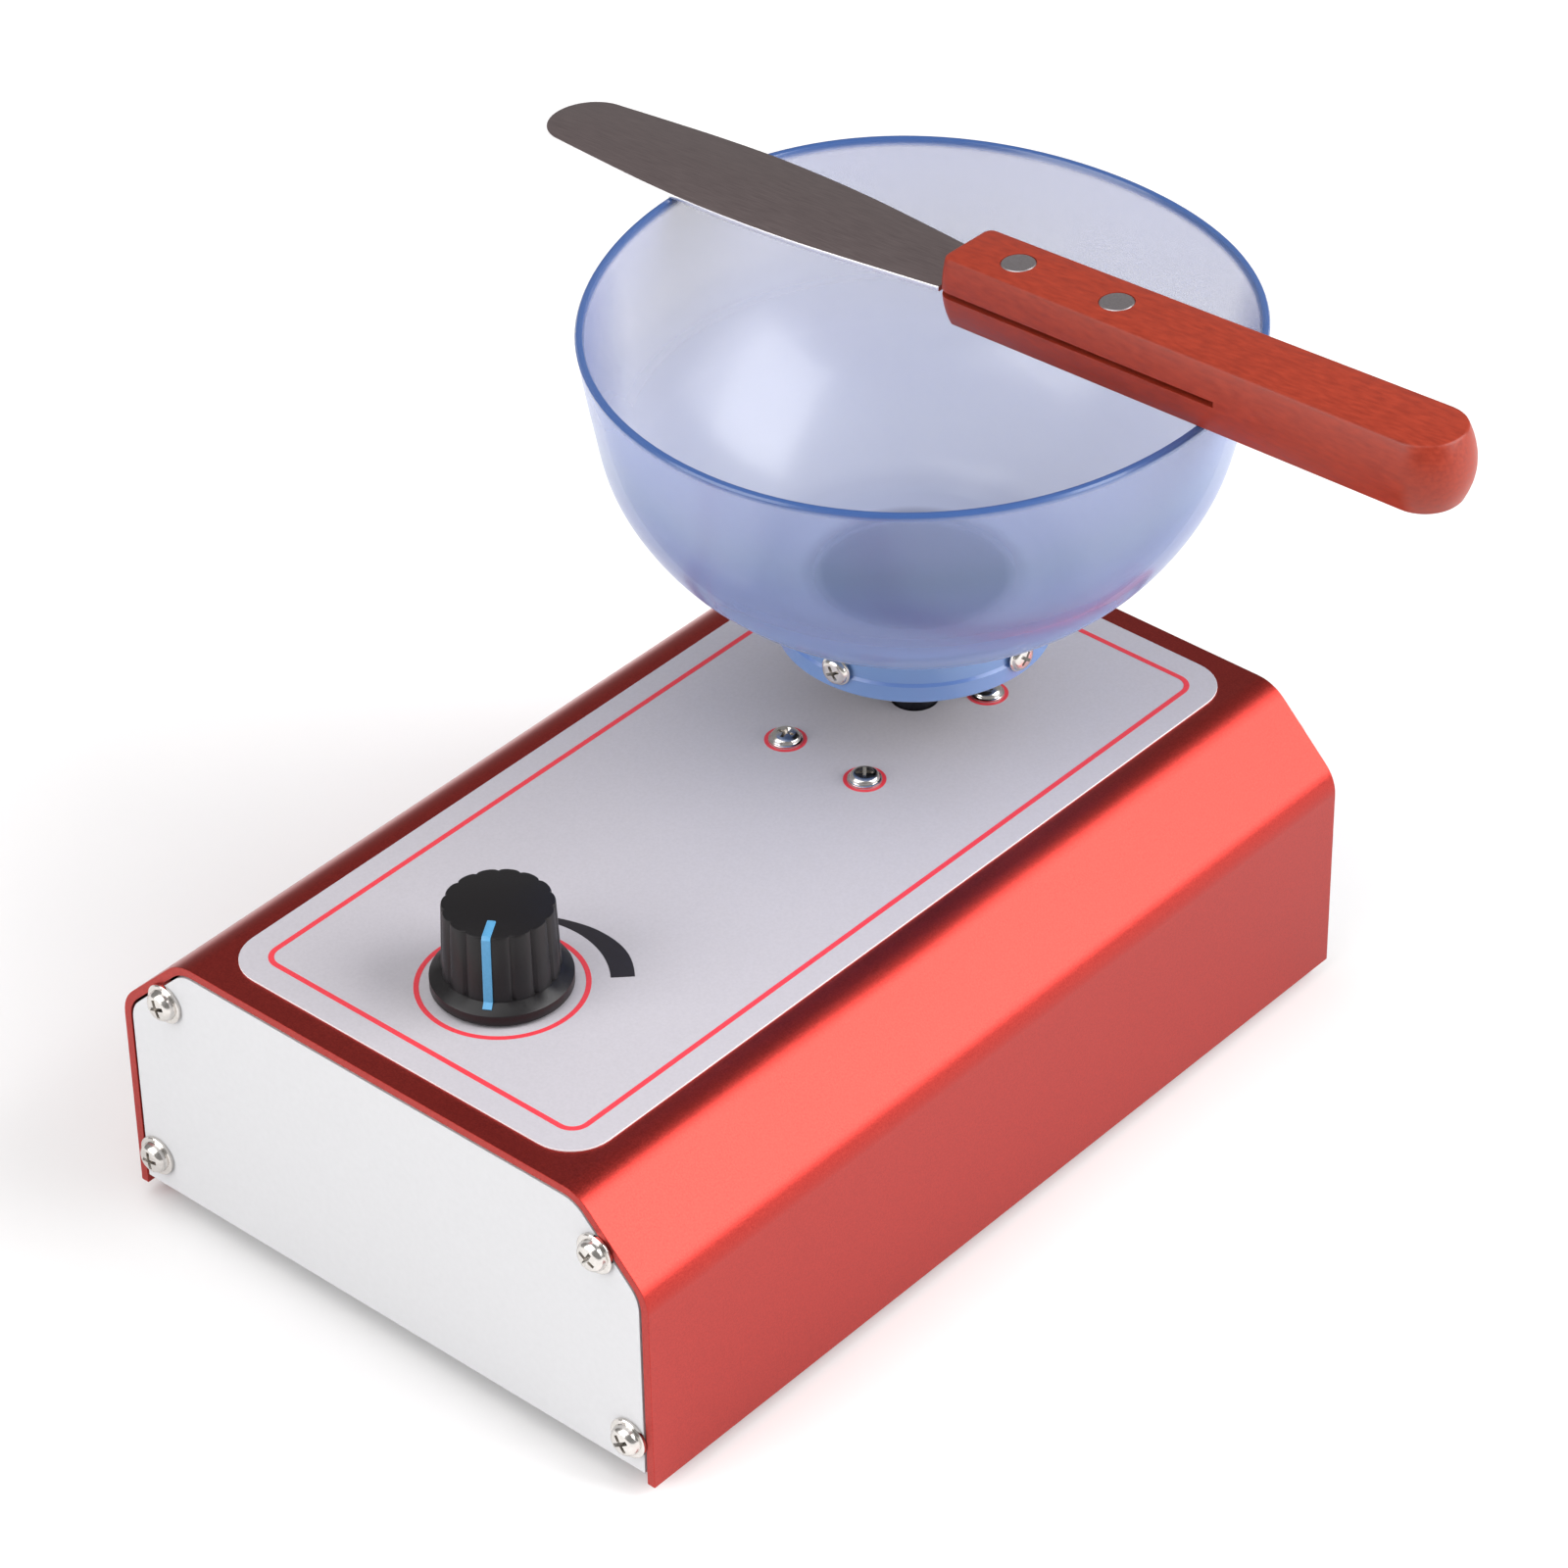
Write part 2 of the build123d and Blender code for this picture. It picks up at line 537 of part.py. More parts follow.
def make_magnets():
    """Two curved magnets, left and right of the armature."""
    outer = MOTOR_RADIUS - MOTOR_WALL
    tube = ring(outer, outer - 3.0, on_motor_axis(MOTOR_REAR + 12), on_motor_axis(MOTOR_FRONT - 8))
    gap_half = 6.0
    reach = MOTOR_RADIUS + 1
    gap = block(MOTOR_X - gap_half, MOTOR_X + gap_half, MOTOR_REAR, MOTOR_FRONT, MOTOR_Z - reach,
                MOTOR_Z + reach)
    return tube - gap


def make_armature():
    """Slotted laminated core on the motor shaft."""
    solid = ring(10.8, MOTOR_SHAFT_RADIUS, on_motor_axis(MOTOR_REAR + 14), on_motor_axis(MOTOR_FRONT - 11))
    for index in range(ARMATURE_SLOTS):
        turn = 360 / ARMATURE_SLOTS * index
        angle = math.radians(turn)
        x = MOTOR_X + 7.5 * math.sin(angle)
        z = MOTOR_Z + 7.5 * math.cos(angle)
        solid -= rod(2.6, (x, MOTOR_REAR, z), (x, MOTOR_FRONT, z))
        mouth = block(-0.7, 0.7, MOTOR_REAR, MOTOR_FRONT, 7.5, 12)
        solid -= Pos(MOTOR_X, 0, MOTOR_Z) * Rot(0, turn, 0) * mouth
    return solid


def make_windings():
    """The coils' two end turns, joined by the turns in the slots."""
    rear = ring(9.6, 3.2, on_motor_axis(MOTOR_REAR + 11), on_motor_axis(MOTOR_REAR + 14))
    front = ring(9.6, 3.2, on_motor_axis(MOTOR_FRONT - 11), on_motor_axis(MOTOR_FRONT - 8))
    solid = rear + front
    for index in range(ARMATURE_SLOTS):
        angle = math.radians(360 / ARMATURE_SLOTS * index)
        x = MOTOR_X + 7.2 * math.sin(angle)
        z = MOTOR_Z + 7.2 * math.cos(angle)
        solid += rod(2.0, (x, MOTOR_REAR + 12, z), (x, MOTOR_FRONT - 9, z))
    return solid


def write_motor():
    """Can, magnets, end cap, bushes, brushes and terminals, and the rotor."""
    save("motor_can", make_motor_can())
    save("motor_magnets", make_magnets())
    bore = MOTOR_SHAFT_RADIUS + RUNNING_FIT
    cap = rod(MOTOR_RADIUS, on_motor_axis(MOTOR_REAR), on_motor_axis(MOTOR_REAR + MOTOR_CAP))
    cap -= rod(3.5, on_motor_axis(MOTOR_REAR - 1), on_motor_axis(MOTOR_REAR + MOTOR_CAP + 1))
    for side in (-1, 1):
        x = MOTOR_X + side * MOTOR_TAG_REACH
        cap -= block(x - 1.5, x + 1.5, MOTOR_REAR - 1, MOTOR_REAR + MOTOR_CAP + 1, MOTOR_Z - 0.25,
                     MOTOR_Z + 0.25)
    save("motor_end_cap", fillet(cap.edges().group_by(Axis.Y)[0].sort_by(SortBy.LENGTH)[-1], 1.5))
    rear_bush = ring(3.5, bore, on_motor_axis(MOTOR_REAR), on_motor_axis(MOTOR_REAR + MOTOR_CAP))
    front_bush = ring(MOTOR_BOSS_RADIUS, bore, on_motor_axis(MOTOR_FRONT - 3), on_motor_axis(MOTOR_FRONT + 2))
    save("motor_bushes", rear_bush, front_bush)
    brush_y0 = MOTOR_REAR + MOTOR_CAP
    brushes = []
    terminals = []
    for side in (-1, 1):
        near, far = sorted((MOTOR_X + side * 4.1, MOTOR_X + side * 7.5))
        brushes.append(block(near, far, brush_y0 + 0.6, brush_y0 + 4.6, MOTOR_Z - 1.5, MOTOR_Z + 1.5))
        x = MOTOR_X + side * MOTOR_TAG_REACH
        terminals.append(block(x - 1.5, x + 1.5, MOTOR_REAR - 5, brush_y0 + 4.6, MOTOR_Z - 0.25,
                               MOTOR_Z + 0.25))
    save("motor_brushes", *brushes)
    save("motor_terminals", *terminals)
    shaft_ends = (on_motor_axis(MOTOR_REAR + 0.8), on_motor_axis(GEARBOX_REAR - 1))
    save("motor_shaft", rod(MOTOR_SHAFT_RADIUS, *shaft_ends))
    save("worm", make_worm())
    save("armature_core", make_armature())
    save("armature_windings", make_windings())
    commutator = ring(4.0, MOTOR_SHAFT_RADIUS, on_motor_axis(brush_y0 + 0.4), on_motor_axis(brush_y0 + 6.0))
    save("commutator", commutator)


# ---------------------------------------------------------------- bowl and its drive
def bowl_outline():
    """Half section of the bowl: a flared wall, a flat floor and a thick collar below."""
    rim_inner = BOWL_RIM_RADIUS - BOWL_RIM_FACE
    waist = (COLLAR_WAIST, COLLAR_TOP_Z)
    outer = Spline((BOWL_RIM_RADIUS, BOWL_RIM_Z), *BOWL_OUTER_KNOTS, waist)
    inner = Spline((rim_inner, BOWL_RIM_Z), *BOWL_INNER_KNOTS, (BOWL_FLOOR_RADIUS, BOWL_FLOOR_Z))
    bore = HUB_RADIUS + 0.1
    below = Polyline(waist, (COLLAR_WAIST, COLLAR_STEP_Z), (COLLAR_RADIUS, COLLAR_STEP_Z - 0.4),
                     (COLLAR_RADIUS, COLLAR_BOTTOM_Z), (bore, COLLAR_BOTTOM_Z), (bore, HUB_TOP_Z),
                     (0, HUB_TOP_Z), (0, BOWL_FLOOR_Z), (BOWL_FLOOR_RADIUS, BOWL_FLOOR_Z))
    lip = Line((BOWL_RIM_RADIUS, BOWL_RIM_Z), (rim_inner, BOWL_RIM_Z))
    return make_face([outer, below, inner, lip])


def radial(angle, radius, z):
    """The point at an angle and a radius about the output shaft."""
    turn = math.radians(angle)
    return (radius * math.cos(turn), SHAFT_Y + radius * math.sin(turn), z)


def make_output_shaft():
    """Shaft with a flat for the set screw and chamfered ends."""
    end_gap = 0.5
    solid = Cylinder(SHAFT_RADIUS, SHAFT_TOP_Z - GEARBOX_BOTTOM - end_gap, align=STAND)
    solid = chamfer(solid.edges().filter_by(GeomType.CIRCLE), 0.5)
    solid = Pos(0, SHAFT_Y, GEARBOX_BOTTOM + end_gap) * solid
    flat_y = SHAFT_Y - SHAFT_RADIUS + SHAFT_FLAT
    return solid - block(-5, 5, flat_y - 5, flat_y, HUB_BOSS_Z, SHAFT_TOP_Z + 1)


def make_bowl_hub():
    """Disc inside the collar, on a boss that is clamped to the shaft."""
    solid = upright(HUB_RADIUS, 0, SHAFT_Y, COLLAR_BOTTOM_Z, HUB_TOP_Z)
    solid += upright(HUB_BOSS_RADIUS, 0, SHAFT_Y, HUB_BOSS_Z, COLLAR_BOTTOM_Z + 1)
    solid -= upright(SHAFT_RADIUS, 0, SHAFT_Y, HUB_BOSS_Z - 1, SHAFT_TOP_Z + 0.2)
    solid -= rod(2.0, (0, SHAFT_Y, SET_SCREW_Z), (0, SHAFT_Y - HUB_BOSS_RADIUS - 1, SET_SCREW_Z))
    for angle in COLLAR_SCREW_ANGLES:
        ends = [radial(angle, radius, COLLAR_SCREW_Z) for radius in (10.5, HUB_RADIUS + 1)]
        solid -= rod(PORT_HOLE_RADIUS, *ends)
    return solid


def write_bowl():
    """Bowl, hub, shaft and wheel: everything that turns with the bowl."""
    bowl = revolved(bowl_outline(), 0, SHAFT_Y)
    for angle in COLLAR_SCREW_ANGLES:
        ends = [radial(angle, radius, COLLAR_SCREW_Z) for radius in (HUB_RADIUS - 1, COLLAR_RADIUS + 1)]
        bowl -= rod(SMALL_HOLE_RADIUS, *ends)
    save("mixing_bowl", bowl)
    save("bowl_hub", make_bowl_hub())
    save("output_shaft", make_output_shaft())
    save("worm_wheel", make_worm_wheel())
    inner_y = SHAFT_Y - SHAFT_RADIUS + SHAFT_FLAT
    outer_y = SHAFT_Y - HUB_BOSS_RADIUS + 0.4
    set_screw = rod(1.95, (0, inner_y, SET_SCREW_Z), (0, outer_y, SET_SCREW_Z))
    hex_socket = along_y(Pos(0, SET_SCREW_Z) * RegularPolygon(1.15, 6), outer_y - 1, outer_y + 2.2)
    save("hub_set_screw", set_screw - hex_socket)
    screw = pan_screw(2.8, 2.0, 1.4, 12.5)
    heads = []
    for angle in COLLAR_SCREW_ANGLES:
        turn = math.radians(angle)
        outwards = (math.cos(turn), math.sin(turn), 0)
        heads.append(placed(screw, radial(angle, COLLAR_RADIUS, COLLAR_SCREW_Z), outwards))
    save("bowl_screws", *heads)


# ---------------------------------------------------------------- speed control
def knob_section(grow):
    """Half section of the knob, made larger all round by grow."""
    skirt = KNOB_SKIRT_RADIUS + grow
    grip = KNOB_GRIP_RADIUS + grow
    top = KNOB_TOP_RADIUS + grow
    height = KNOB_Z + KNOB_HEIGHT + grow
    bevel = 0.4
    return polygon([(0, KNOB_Z), (skirt, KNOB_Z), (skirt, KNOB_Z + KNOB_SKIRT_HEIGHT),
                    (grip, KNOB_Z + KNOB_GRIP_Z + grow), (top, height - bevel), (top - bevel, height),
                    (0, height)])


def lobed_outline(crest):
    """Closed run of outward arcs, with a valley under the pointer."""
    step = 360 / KNOB_LOBES
    outline = []
    for index in range(KNOB_LOBES):
        start = POINTER_ANGLE + index * step
        valley = crest - KNOB_LOBE_DEPTH
        points = [(valley, start), (crest, start + step / 2), (valley, start + step)]
        places = [(r * math.cos(math.radians(a)), r * math.sin(math.radians(a))) for r, a in points]
        outline.append(ThreePointArc(*places))
    return make_face(outline)


def make_knob():
    """Lobed grip on a skirt, hollow below for the nut."""
    foot = Pos(0, KNOB_Y, KNOB_Z) * lobed_outline(KNOB_GRIP_RADIUS)
    top = Pos(0, KNOB_Y, KNOB_Z + KNOB_HEIGHT) * lobed_outline(KNOB_TOP_RADIUS)
    section = knob_section(0)
    skirt_top = KNOB_Z + KNOB_GRIP_Z
    skirt = section & Pos(0, skirt_top / 2) * Rectangle(2 * KNOB_SKIRT_RADIUS + 2, skirt_top)
    solid = loft([foot, top], ruled=True) & revolved(section, 0, KNOB_Y)
    solid += revolved(skirt, 0, KNOB_Y)
    solid -= upright(7.6, 0, KNOB_Y, KNOB_Z - 1, KNOB_Z + 4.0)
    return solid - upright(CONTROL_SHAFT_RADIUS, 0, KNOB_Y, KNOB_Z, KNOB_Z + 12.5)


def make_pointer(knob):
    """Coloured line from the top of the knob down to the skirt."""
    half = POINTER_WIDTH / 2
    foot_z = KNOB_Z + KNOB_SKIRT_HEIGHT + 0.5
    slab = block(POINTER_START, KNOB_SKIRT_RADIUS + 1, -half, half, foot_z, KNOB_Z + KNOB_HEIGHT + 1)
    slab = Pos(0, KNOB_Y, 0) * Rot(0, 0, POINTER_ANGLE) * slab
    hollow = upright(8.0, 0, KNOB_Y, KNOB_Z - 1, KNOB_Z + 4.2)
    return (revolved(knob_section(0.2), 0, KNOB_Y) & slab) - knob - hollow


def write_speed_control():
    """Potentiometer under the cover, and the knob on its shaft."""
    bush_top = FACE_Z + 4.2
    shaft_foot = UNDER_TOP_Z - 6
    body = upright(8.2, 0, KNOB_Y, UNDER_TOP_Z - 9, UNDER_TOP_Z)
    body += upright(CONTROL_BUSH_RADIUS, 0, KNOB_Y, UNDER_TOP_Z - 1, bush_top)
    body -= upright(CONTROL_SHAFT_RADIUS + RUNNING_FIT, 0, KNOB_Y, shaft_foot, bush_top + 1)
    for x in (-5, 0, 5):
        body += block(x - 0.8, x + 0.8, KNOB_Y - 12, KNOB_Y - 5, UNDER_TOP_Z - 8, UNDER_TOP_Z - 7.4)
    save("potentiometer_body", body)
    nut = extrude(Pos(0, KNOB_Y, FACE_Z) * RegularPolygon(5.0, 6, major_radius=False), amount=2.2)
    save("potentiometer_nut", nut - upright(CONTROL_BUSH_RADIUS, 0, KNOB_Y, FACE_Z, FACE_Z + 4))
    knob = make_knob()
    save("speed_knob", knob)
    save("knob_pointer", make_pointer(knob))
    shaft = upright(CONTROL_SHAFT_RADIUS, 0, KNOB_Y, shaft_foot + 0.4, KNOB_Z + 12.4)
    save("potentiometer_shaft", shaft)


# ---------------------------------------------------------------- transformer and control board
def transformer_screw_places():
    """The two screws of the transformer's bracket, in X and Y."""
    reach = TRANSFORMER_BACK / 2 + 5
    return [(TRANSFORMER_X, TRANSFORMER_Y + side * reach) for side in (-1, 1)]


def standoff_places():
    """The four corners of the control board, in X and Y."""
    inset = 4.0
    columns = (BOARD_LEFT + inset, BOARD_RIGHT - inset)
    rows = (BOARD_FRONT + inset, BOARD_REAR - inset)
    return [(x, y) for x in columns for y in rows]


def write_transformer():
    """Core, winding and bracket."""
    half_stack = TRANSFORMER_STACK / 2
    half_back = TRANSFORMER_BACK / 2
    floor = BASE_TOP_Z + 1.0
    top = floor + TRANSFORMER_RISE
    left = TRANSFORMER_X - half_stack
    right = TRANSFORMER_X + half_stack
    front = TRANSFORMER_Y - half_back
    rear = TRANSFORMER_Y + half_back
    core = block(left, right, front, rear, floor, top)
    limb = 5.5  # width of an outer limb, and half the middle one's
    window_far = 2 * limb
    for side in (-1, 1):
        near, far = sorted((TRANSFORMER_Y + side * limb, TRANSFORMER_Y + side * window_far))
        core -= block(left - 1, right + 1, near, far, floor + limb, top - limb)
    save("transformer_core", core)
    coil_half = window_far - 0.2
    coil = block(left - TRANSFORMER_COIL, right + TRANSFORMER_COIL, TRANSFORMER_Y - coil_half,
                 TRANSFORMER_Y + coil_half, floor + limb + 0.2, COIL_TOP_Z)
    coil -= block(left, right, TRANSFORMER_Y - limb, TRANSFORMER_Y + limb, floor, top)
    save("transformer_winding", coil)
    strap = block(left, right, front - 1, rear + 1, BASE_TOP_Z, top + 1)
    strap -= block(left - 1, right + 1, front, rear, BASE_TOP_Z - 1, top)
    strap += block(left, right, front - 9, front, BASE_TOP_Z, BASE_TOP_Z + 1)
    strap += block(left, right, rear, rear + 9, BASE_TOP_Z, BASE_TOP_Z + 1)
    for x, y in transformer_screw_places():
        strap -= upright(SMALL_HOLE_RADIUS, x, y, BASE_TOP_Z - 1, BASE_TOP_Z + 2)
    save("transformer_bracket", strap)


def make_heat_sink():
    """Finned aluminium block for the transistor."""
    right = HEAT_SINK_LEFT + HEAT_SINK_WIDTH
    top = BOARD_TOP + HEAT_SINK_HEIGHT
    solid = block(HEAT_SINK_LEFT, right, HEAT_SINK_FRONT, HEAT_SINK_FRONT + 3, BOARD_TOP, top)
    fin = 1.5
    pitch = (HEAT_SINK_WIDTH - fin) / (HEAT_SINK_FINS - 1)
    for index in range(HEAT_SINK_FINS):
        x = HEAT_SINK_LEFT + index * pitch
        solid += block(x, x + fin, HEAT_SINK_FRONT + 2.5, HEAT_SINK_FRONT + HEAT_SINK_DEPTH, BOARD_TOP, top)
    return solid


def make_standoff(x, y):
    """Hexagonal spacer, threaded above and held in the base plate below."""
    hexagon = RegularPolygon(2.75, 6, major_radius=False)
    solid = extrude(Pos(x, y, BASE_TOP_Z) * hexagon, amount=STANDOFF_HEIGHT)
    solid += upright(PORT_HOLE_RADIUS, x, y, BASE_Z - 1, BASE_TOP_Z + 0.5)
    return solid - upright(SMALL_HOLE_RADIUS, x, y, BASE_TOP_Z + 1, BOARD_TOP)


def make_transistor():
    """Transistor against the heat sink, with its tab and three legs."""
    middle = HEAT_SINK_LEFT + HEAT_SINK_WIDTH / 2
    half = 5.0
    face_y = HEAT_SINK_FRONT
    solid = block(middle - half, middle + half, face_y - 4.5, face_y, BOARD_TOP + 5, BOARD_TOP + 15)
    solid += block(middle - half, middle + half, face_y - 1.3, face_y, BOARD_TOP + 14, BOARD_TOP + 20)
    for x in (middle - 2.5, middle, middle + 2.5):
        solid += block(x - 0.4, x + 0.4, face_y - 2.4, face_y - 1.6, BOARD_TOP, BOARD_TOP + 6)
    return solid


def make_terminal_block():
    """Green terminal block with a screw well and a wire entry for each way."""
    right = TERMINAL_LEFT + TERMINAL_WAYS * TERMINAL_PITCH
    solid = block(TERMINAL_LEFT, right, TERMINAL_FRONT, TERMINAL_FRONT + 8.5, BOARD_TOP, BOARD_TOP + 10)
    for index in range(TERMINAL_WAYS):
        x = TERMINAL_LEFT + (index + 0.5) * TERMINAL_PITCH
        solid -= upright(1.6, x, TERMINAL_FRONT + 4.5, BOARD_TOP + 6, BOARD_TOP + 11)
        entry = (BOARD_TOP + 1.5, BOARD_TOP + 5)
        solid -= block(x - 1.6, x + 1.6, TERMINAL_FRONT - 1, TERMINAL_FRONT + 3, *entry)
    return solid


def make_fuse_clips():
    """Two spring clips for the fuse's ends."""
    width = 3.0
    half = FUSE_RADIUS + 0.7
    clips = []
    for x in (FUSE_LEFT + 1, FUSE_LEFT + FUSE_LENGTH - width - 1):
        clip = block(x, x + width, FUSE_Y - half, FUSE_Y + half, BOARD_TOP, BOARD_TOP + 7)
        inside = half - 0.6
        room = block(x - 1, x + width + 1, FUSE_Y - inside, FUSE_Y + inside, BOARD_TOP + 0.6, BOARD_TOP + 9)
        clips.append(clip - room)
    return clips


def write_board():
    """Board with its stand-offs, screws and parts."""
    board = block(BOARD_LEFT, BOARD_RIGHT, BOARD_FRONT, BOARD_REAR, BOARD_Z, BOARD_TOP)
    for x, y in standoff_places():
        board -= upright(BOLT_HOLE_RADIUS, x, y, BOARD_Z - 1, BOARD_TOP + 1)
    save("control_board", board)
    save("board_standoffs", *[make_standoff(x, y) for x, y in standoff_places()])
    screw = pan_screw(2.7, 1.9, 1.4, 5.5)
    heads = [placed(screw, (x, y, BOARD_TOP), (0, 0, 1)) for x, y in standoff_places()]
    heads += [placed(screw, (x, y, BASE_TOP_Z + 1), (0, 0, 1)) for x, y in transformer_screw_places()]
    save("mounting_screws", *heads)
    capacitor = upright(CAPACITOR_RADIUS, *CAPACITOR_PLACE, BOARD_TOP, BOARD_TOP + CAPACITOR_HEIGHT)
    save("board_capacitor", fillet(capacitor.edges().filter_by(GeomType.CIRCLE), 0.8))
    save("bridge_rectifier", block(-44, -29, -42, -38, BOARD_TOP, BOARD_TOP + 11))
    save("heat_sink", make_heat_sink())
    save("power_transistor", make_transistor())
    save("terminal_block", make_terminal_block())
    fuse_z = BOARD_TOP + 5
    save("fuse", rod(FUSE_RADIUS, (FUSE_LEFT, FUSE_Y, fuse_z), (FUSE_LEFT + FUSE_LENGTH, FUSE_Y, fuse_z)))
    save("fuse_clips", *make_fuse_clips())


# ---------------------------------------------------------------- mains inlet and switch
def inlet_screw_places():
    """The inlet's two screws, in X and Z."""
    return [(INLET_X + side * INLET_SCREW_REACH, INLET_Z) for side in (-1, 1)]


def socket_outline(width, height, corner):
    """Rectangle with its two upper corners cut off."""
    half_w = width / 2
    half_h = height / 2
    cut_x = half_w - corner
    cut_z = half_h - corner
    return polygon([(-half_w, -half_h), (half_w, -half_h), (half_w, cut_z), (cut_x, half_h),
                    (-cut_x, half_h), (-half_w, cut_z)])


def write_inlet():
    """Mains inlet with its pins and screws."""
    place = Pos(INLET_X, INLET_Z)
    flange_y = REAR_Y + INLET_FLANGE
    flange = along_y(place * RectangleRounded(50, 22.5, 6), REAR_Y, flange_y)
    housing = flange + along_y(place * socket_outline(27.2, 19.8, 5), REAR_Y - 17, REAR_Y + 1)
    housing -= along_y(place * socket_outline(24.2, 16.4, 4.5), REAR_Y - 14, flange_y + 1)
    pin_places = ((-7.0, -2.0), (7.0, -2.0), (0.0, 2.0))
    pins = []
    for x, z in pin_places:
        centre_x = INLET_X + x
        centre_z = INLET_Z + z
        blade = block(centre_x - 1, centre_x + 1, INLET_PIN_REAR, REAR_Y + 0.5, centre_z - 2, centre_z + 2)
        housing -= blade
        pins.append(blade)
    for x, z in inlet_screw_places():
        housing -= rod(BOLT_HOLE_RADIUS, (x, REAR_Y - 1, z), (x, flange_y + 1, z))
    save("mains_inlet", housing)
    save("inlet_pins", *pins)
    screw = pan_screw(2.8, 1.9, 1.45, 8.0)
    heads = [placed(screw, (x, flange_y, z), (0, 1, 0)) for x, z in inlet_screw_places()]
    save("inlet_screws", *heads)


def make_rocker():
    """Rocker with a shallow V face, pressed on its lower half at rest."""
    reach = 8.7
    width = 9.6
    face = polygon([(3.0, 0), (4.6, 9), (-3, 9), (-3, -9), (4.6, -9)]) & Circle(reach)
    solid = extrude(Plane.YZ * face, amount=width / 2, both=True)
    pin_reach = width / 2 + 0.9
    solid += rod(ROCKER_PIN_RADIUS, (-pin_reach, 0, 0), (pin_reach, 0, 0))
    return Pos(SWITCH_X, REAR_Y + ROCKER_PIVOT, SWITCH_Z) * Rot(-ROCKER_TRAVEL / 2, 0, 0) * solid


def write_switch():
    """Rocker switch: housing, rocker and terminals."""
    place = Pos(SWITCH_X, SWITCH_Z)
    housing = along_y(place * RectangleRounded(15, 21, 1.2), REAR_Y, REAR_Y + 1.6)
    housing += along_y(place * Rectangle(13.0, 19.2), REAR_Y - 13, REAR_Y + 0.5)
    housing -= along_y(place * Rectangle(10.2, 18.0), REAR_Y - 7, REAR_Y + 3)
    pin_reach = 5.8
    pin_ends = [(SWITCH_X + side * pin_reach, REAR_Y + ROCKER_PIVOT, SWITCH_Z) for side in (-1, 1)]
    housing -= rod(ROCKER_PIN_RADIUS + RUNNING_FIT, *pin_ends)
    terminals = []
    for z in (-SWITCH_TAG_DROP, 0.0):
        centre = SWITCH_Z + z
        terminals.append(block(SWITCH_X - 2.4, SWITCH_X + 2.4, SWITCH_TAG_REAR, REAR_Y - 9,
                               centre - 0.4, centre + 0.4))
    for terminal in terminals:
        housing -= terminal
    save("switch_housing", housing)
    save("switch_terminals", *terminals)
    save("switch_rocker", make_rocker())


# ---------------------------------------------------------------- internal leads
def lead(*points):
    """Insulated wire through the points, with rounded bends."""
    path = FilletPolyline(*points, radius=LEAD_BEND)
    section = Plane(origin=path @ 0, z_dir=path % 0) * Circle(LEAD_RADIUS)
    return sweep(section, path=path)


def write_leads():
    """Wires between the inlet, the switch, the transformer, the board and the motor."""
    coil_reach = (TRANSFORMER_STACK + TRANSFORMER_COIL) / 2
    coil_left = TRANSFORMER_X - coil_reach
    coil_right = TRANSFORMER_X + coil_reach
    over_coil = COIL_TOP_Z + 9
    pin_z = INLET_Z - 2
    switch_upper = SWITCH_Z
    switch_lower = SWITCH_Z - SWITCH_TAG_DROP
    live = lead((INLET_X - 7, INLET_PIN_REAR, pin_z), (INLET_X - 7, 63.0, pin_z), (12, 65.0, 11),
                (-24, 65.0, 11), (SWITCH_X, 62.0, switch_lower), (SWITCH_X, SWITCH_TAG_REAR, switch_lower))
    switched = lead((SWITCH_X, SWITCH_TAG_REAR, switch_upper), (SWITCH_X, 60, switch_upper),
                    (coil_left, 36, over_coil + 4), (coil_left, 36, COIL_TOP_Z))
    neutral = lead((INLET_X + 7, INLET_PIN_REAR, pin_z), (INLET_X + 7, 64.5, pin_z), (24, 62.0, 14),
                   (-12, 58.0, 12), (-19, 50, 34), (coil_right, 36, over_coil), (coil_right, 36, COIL_TOP_Z))
    save("mains_leads", live, switched, neutral)
    entry_z = BOARD_TOP + 3.2
    tag_left = MOTOR_X - MOTOR_TAG_REACH
    tag_right = MOTOR_X + MOTOR_TAG_REACH
    tag_y = MOTOR_REAR - 5
    entry_y = TERMINAL_FRONT + 2.8
    turn_y = TERMINAL_FRONT - 6.5
    ways = [TERMINAL_LEFT + (index + 0.5) * TERMINAL_PITCH for index in range(TERMINAL_WAYS)]
    first = lead((tag_left, tag_y, MOTOR_Z), (tag_left, -63, MOTOR_Z), (0, -82, 34),
                 (ways[3], turn_y, entry_z), (ways[3], entry_y, entry_z))
    second = lead((tag_right, tag_y, MOTOR_Z), (tag_right, -64, MOTOR_Z), (-1, -84, 40),
                  (ways[2], turn_y, entry_z), (ways[2], entry_y, entry_z))
    third = lead((coil_left, 24, COIL_TOP_Z), (coil_left, 24, over_coil), (-46, -6, over_coil),
                 (-41, -35, 28), (-41, -35, BOARD_TOP))
    fourth = lead((coil_right, 24, COIL_TOP_Z), (coil_right, 24, over_coil), (-19, 2, 30), (-5, -14, 22),
                  (-3, -40, 22), (-3, -40, BOARD_TOP))
    save("low_voltage_leads", first, second, third, fourth)


# ---------------------------------------------------------------- spatula
def rim_crossings(yaw):
    """Distances from the spatula's tip at which its centre line crosses the rim, seen from above."""
    to_tip = Vector(SPATULA_TIP[0], SPATULA_TIP[1] - SHAFT_Y)
    along = to_tip.dot(Vector(math.cos(yaw), math.sin(yaw)))
    half_chord = math.sqrt(along**2 - to_tip.length**2 + BOWL_RIM_RADIUS**2)
    return -along - half_chord, -along + half_chord


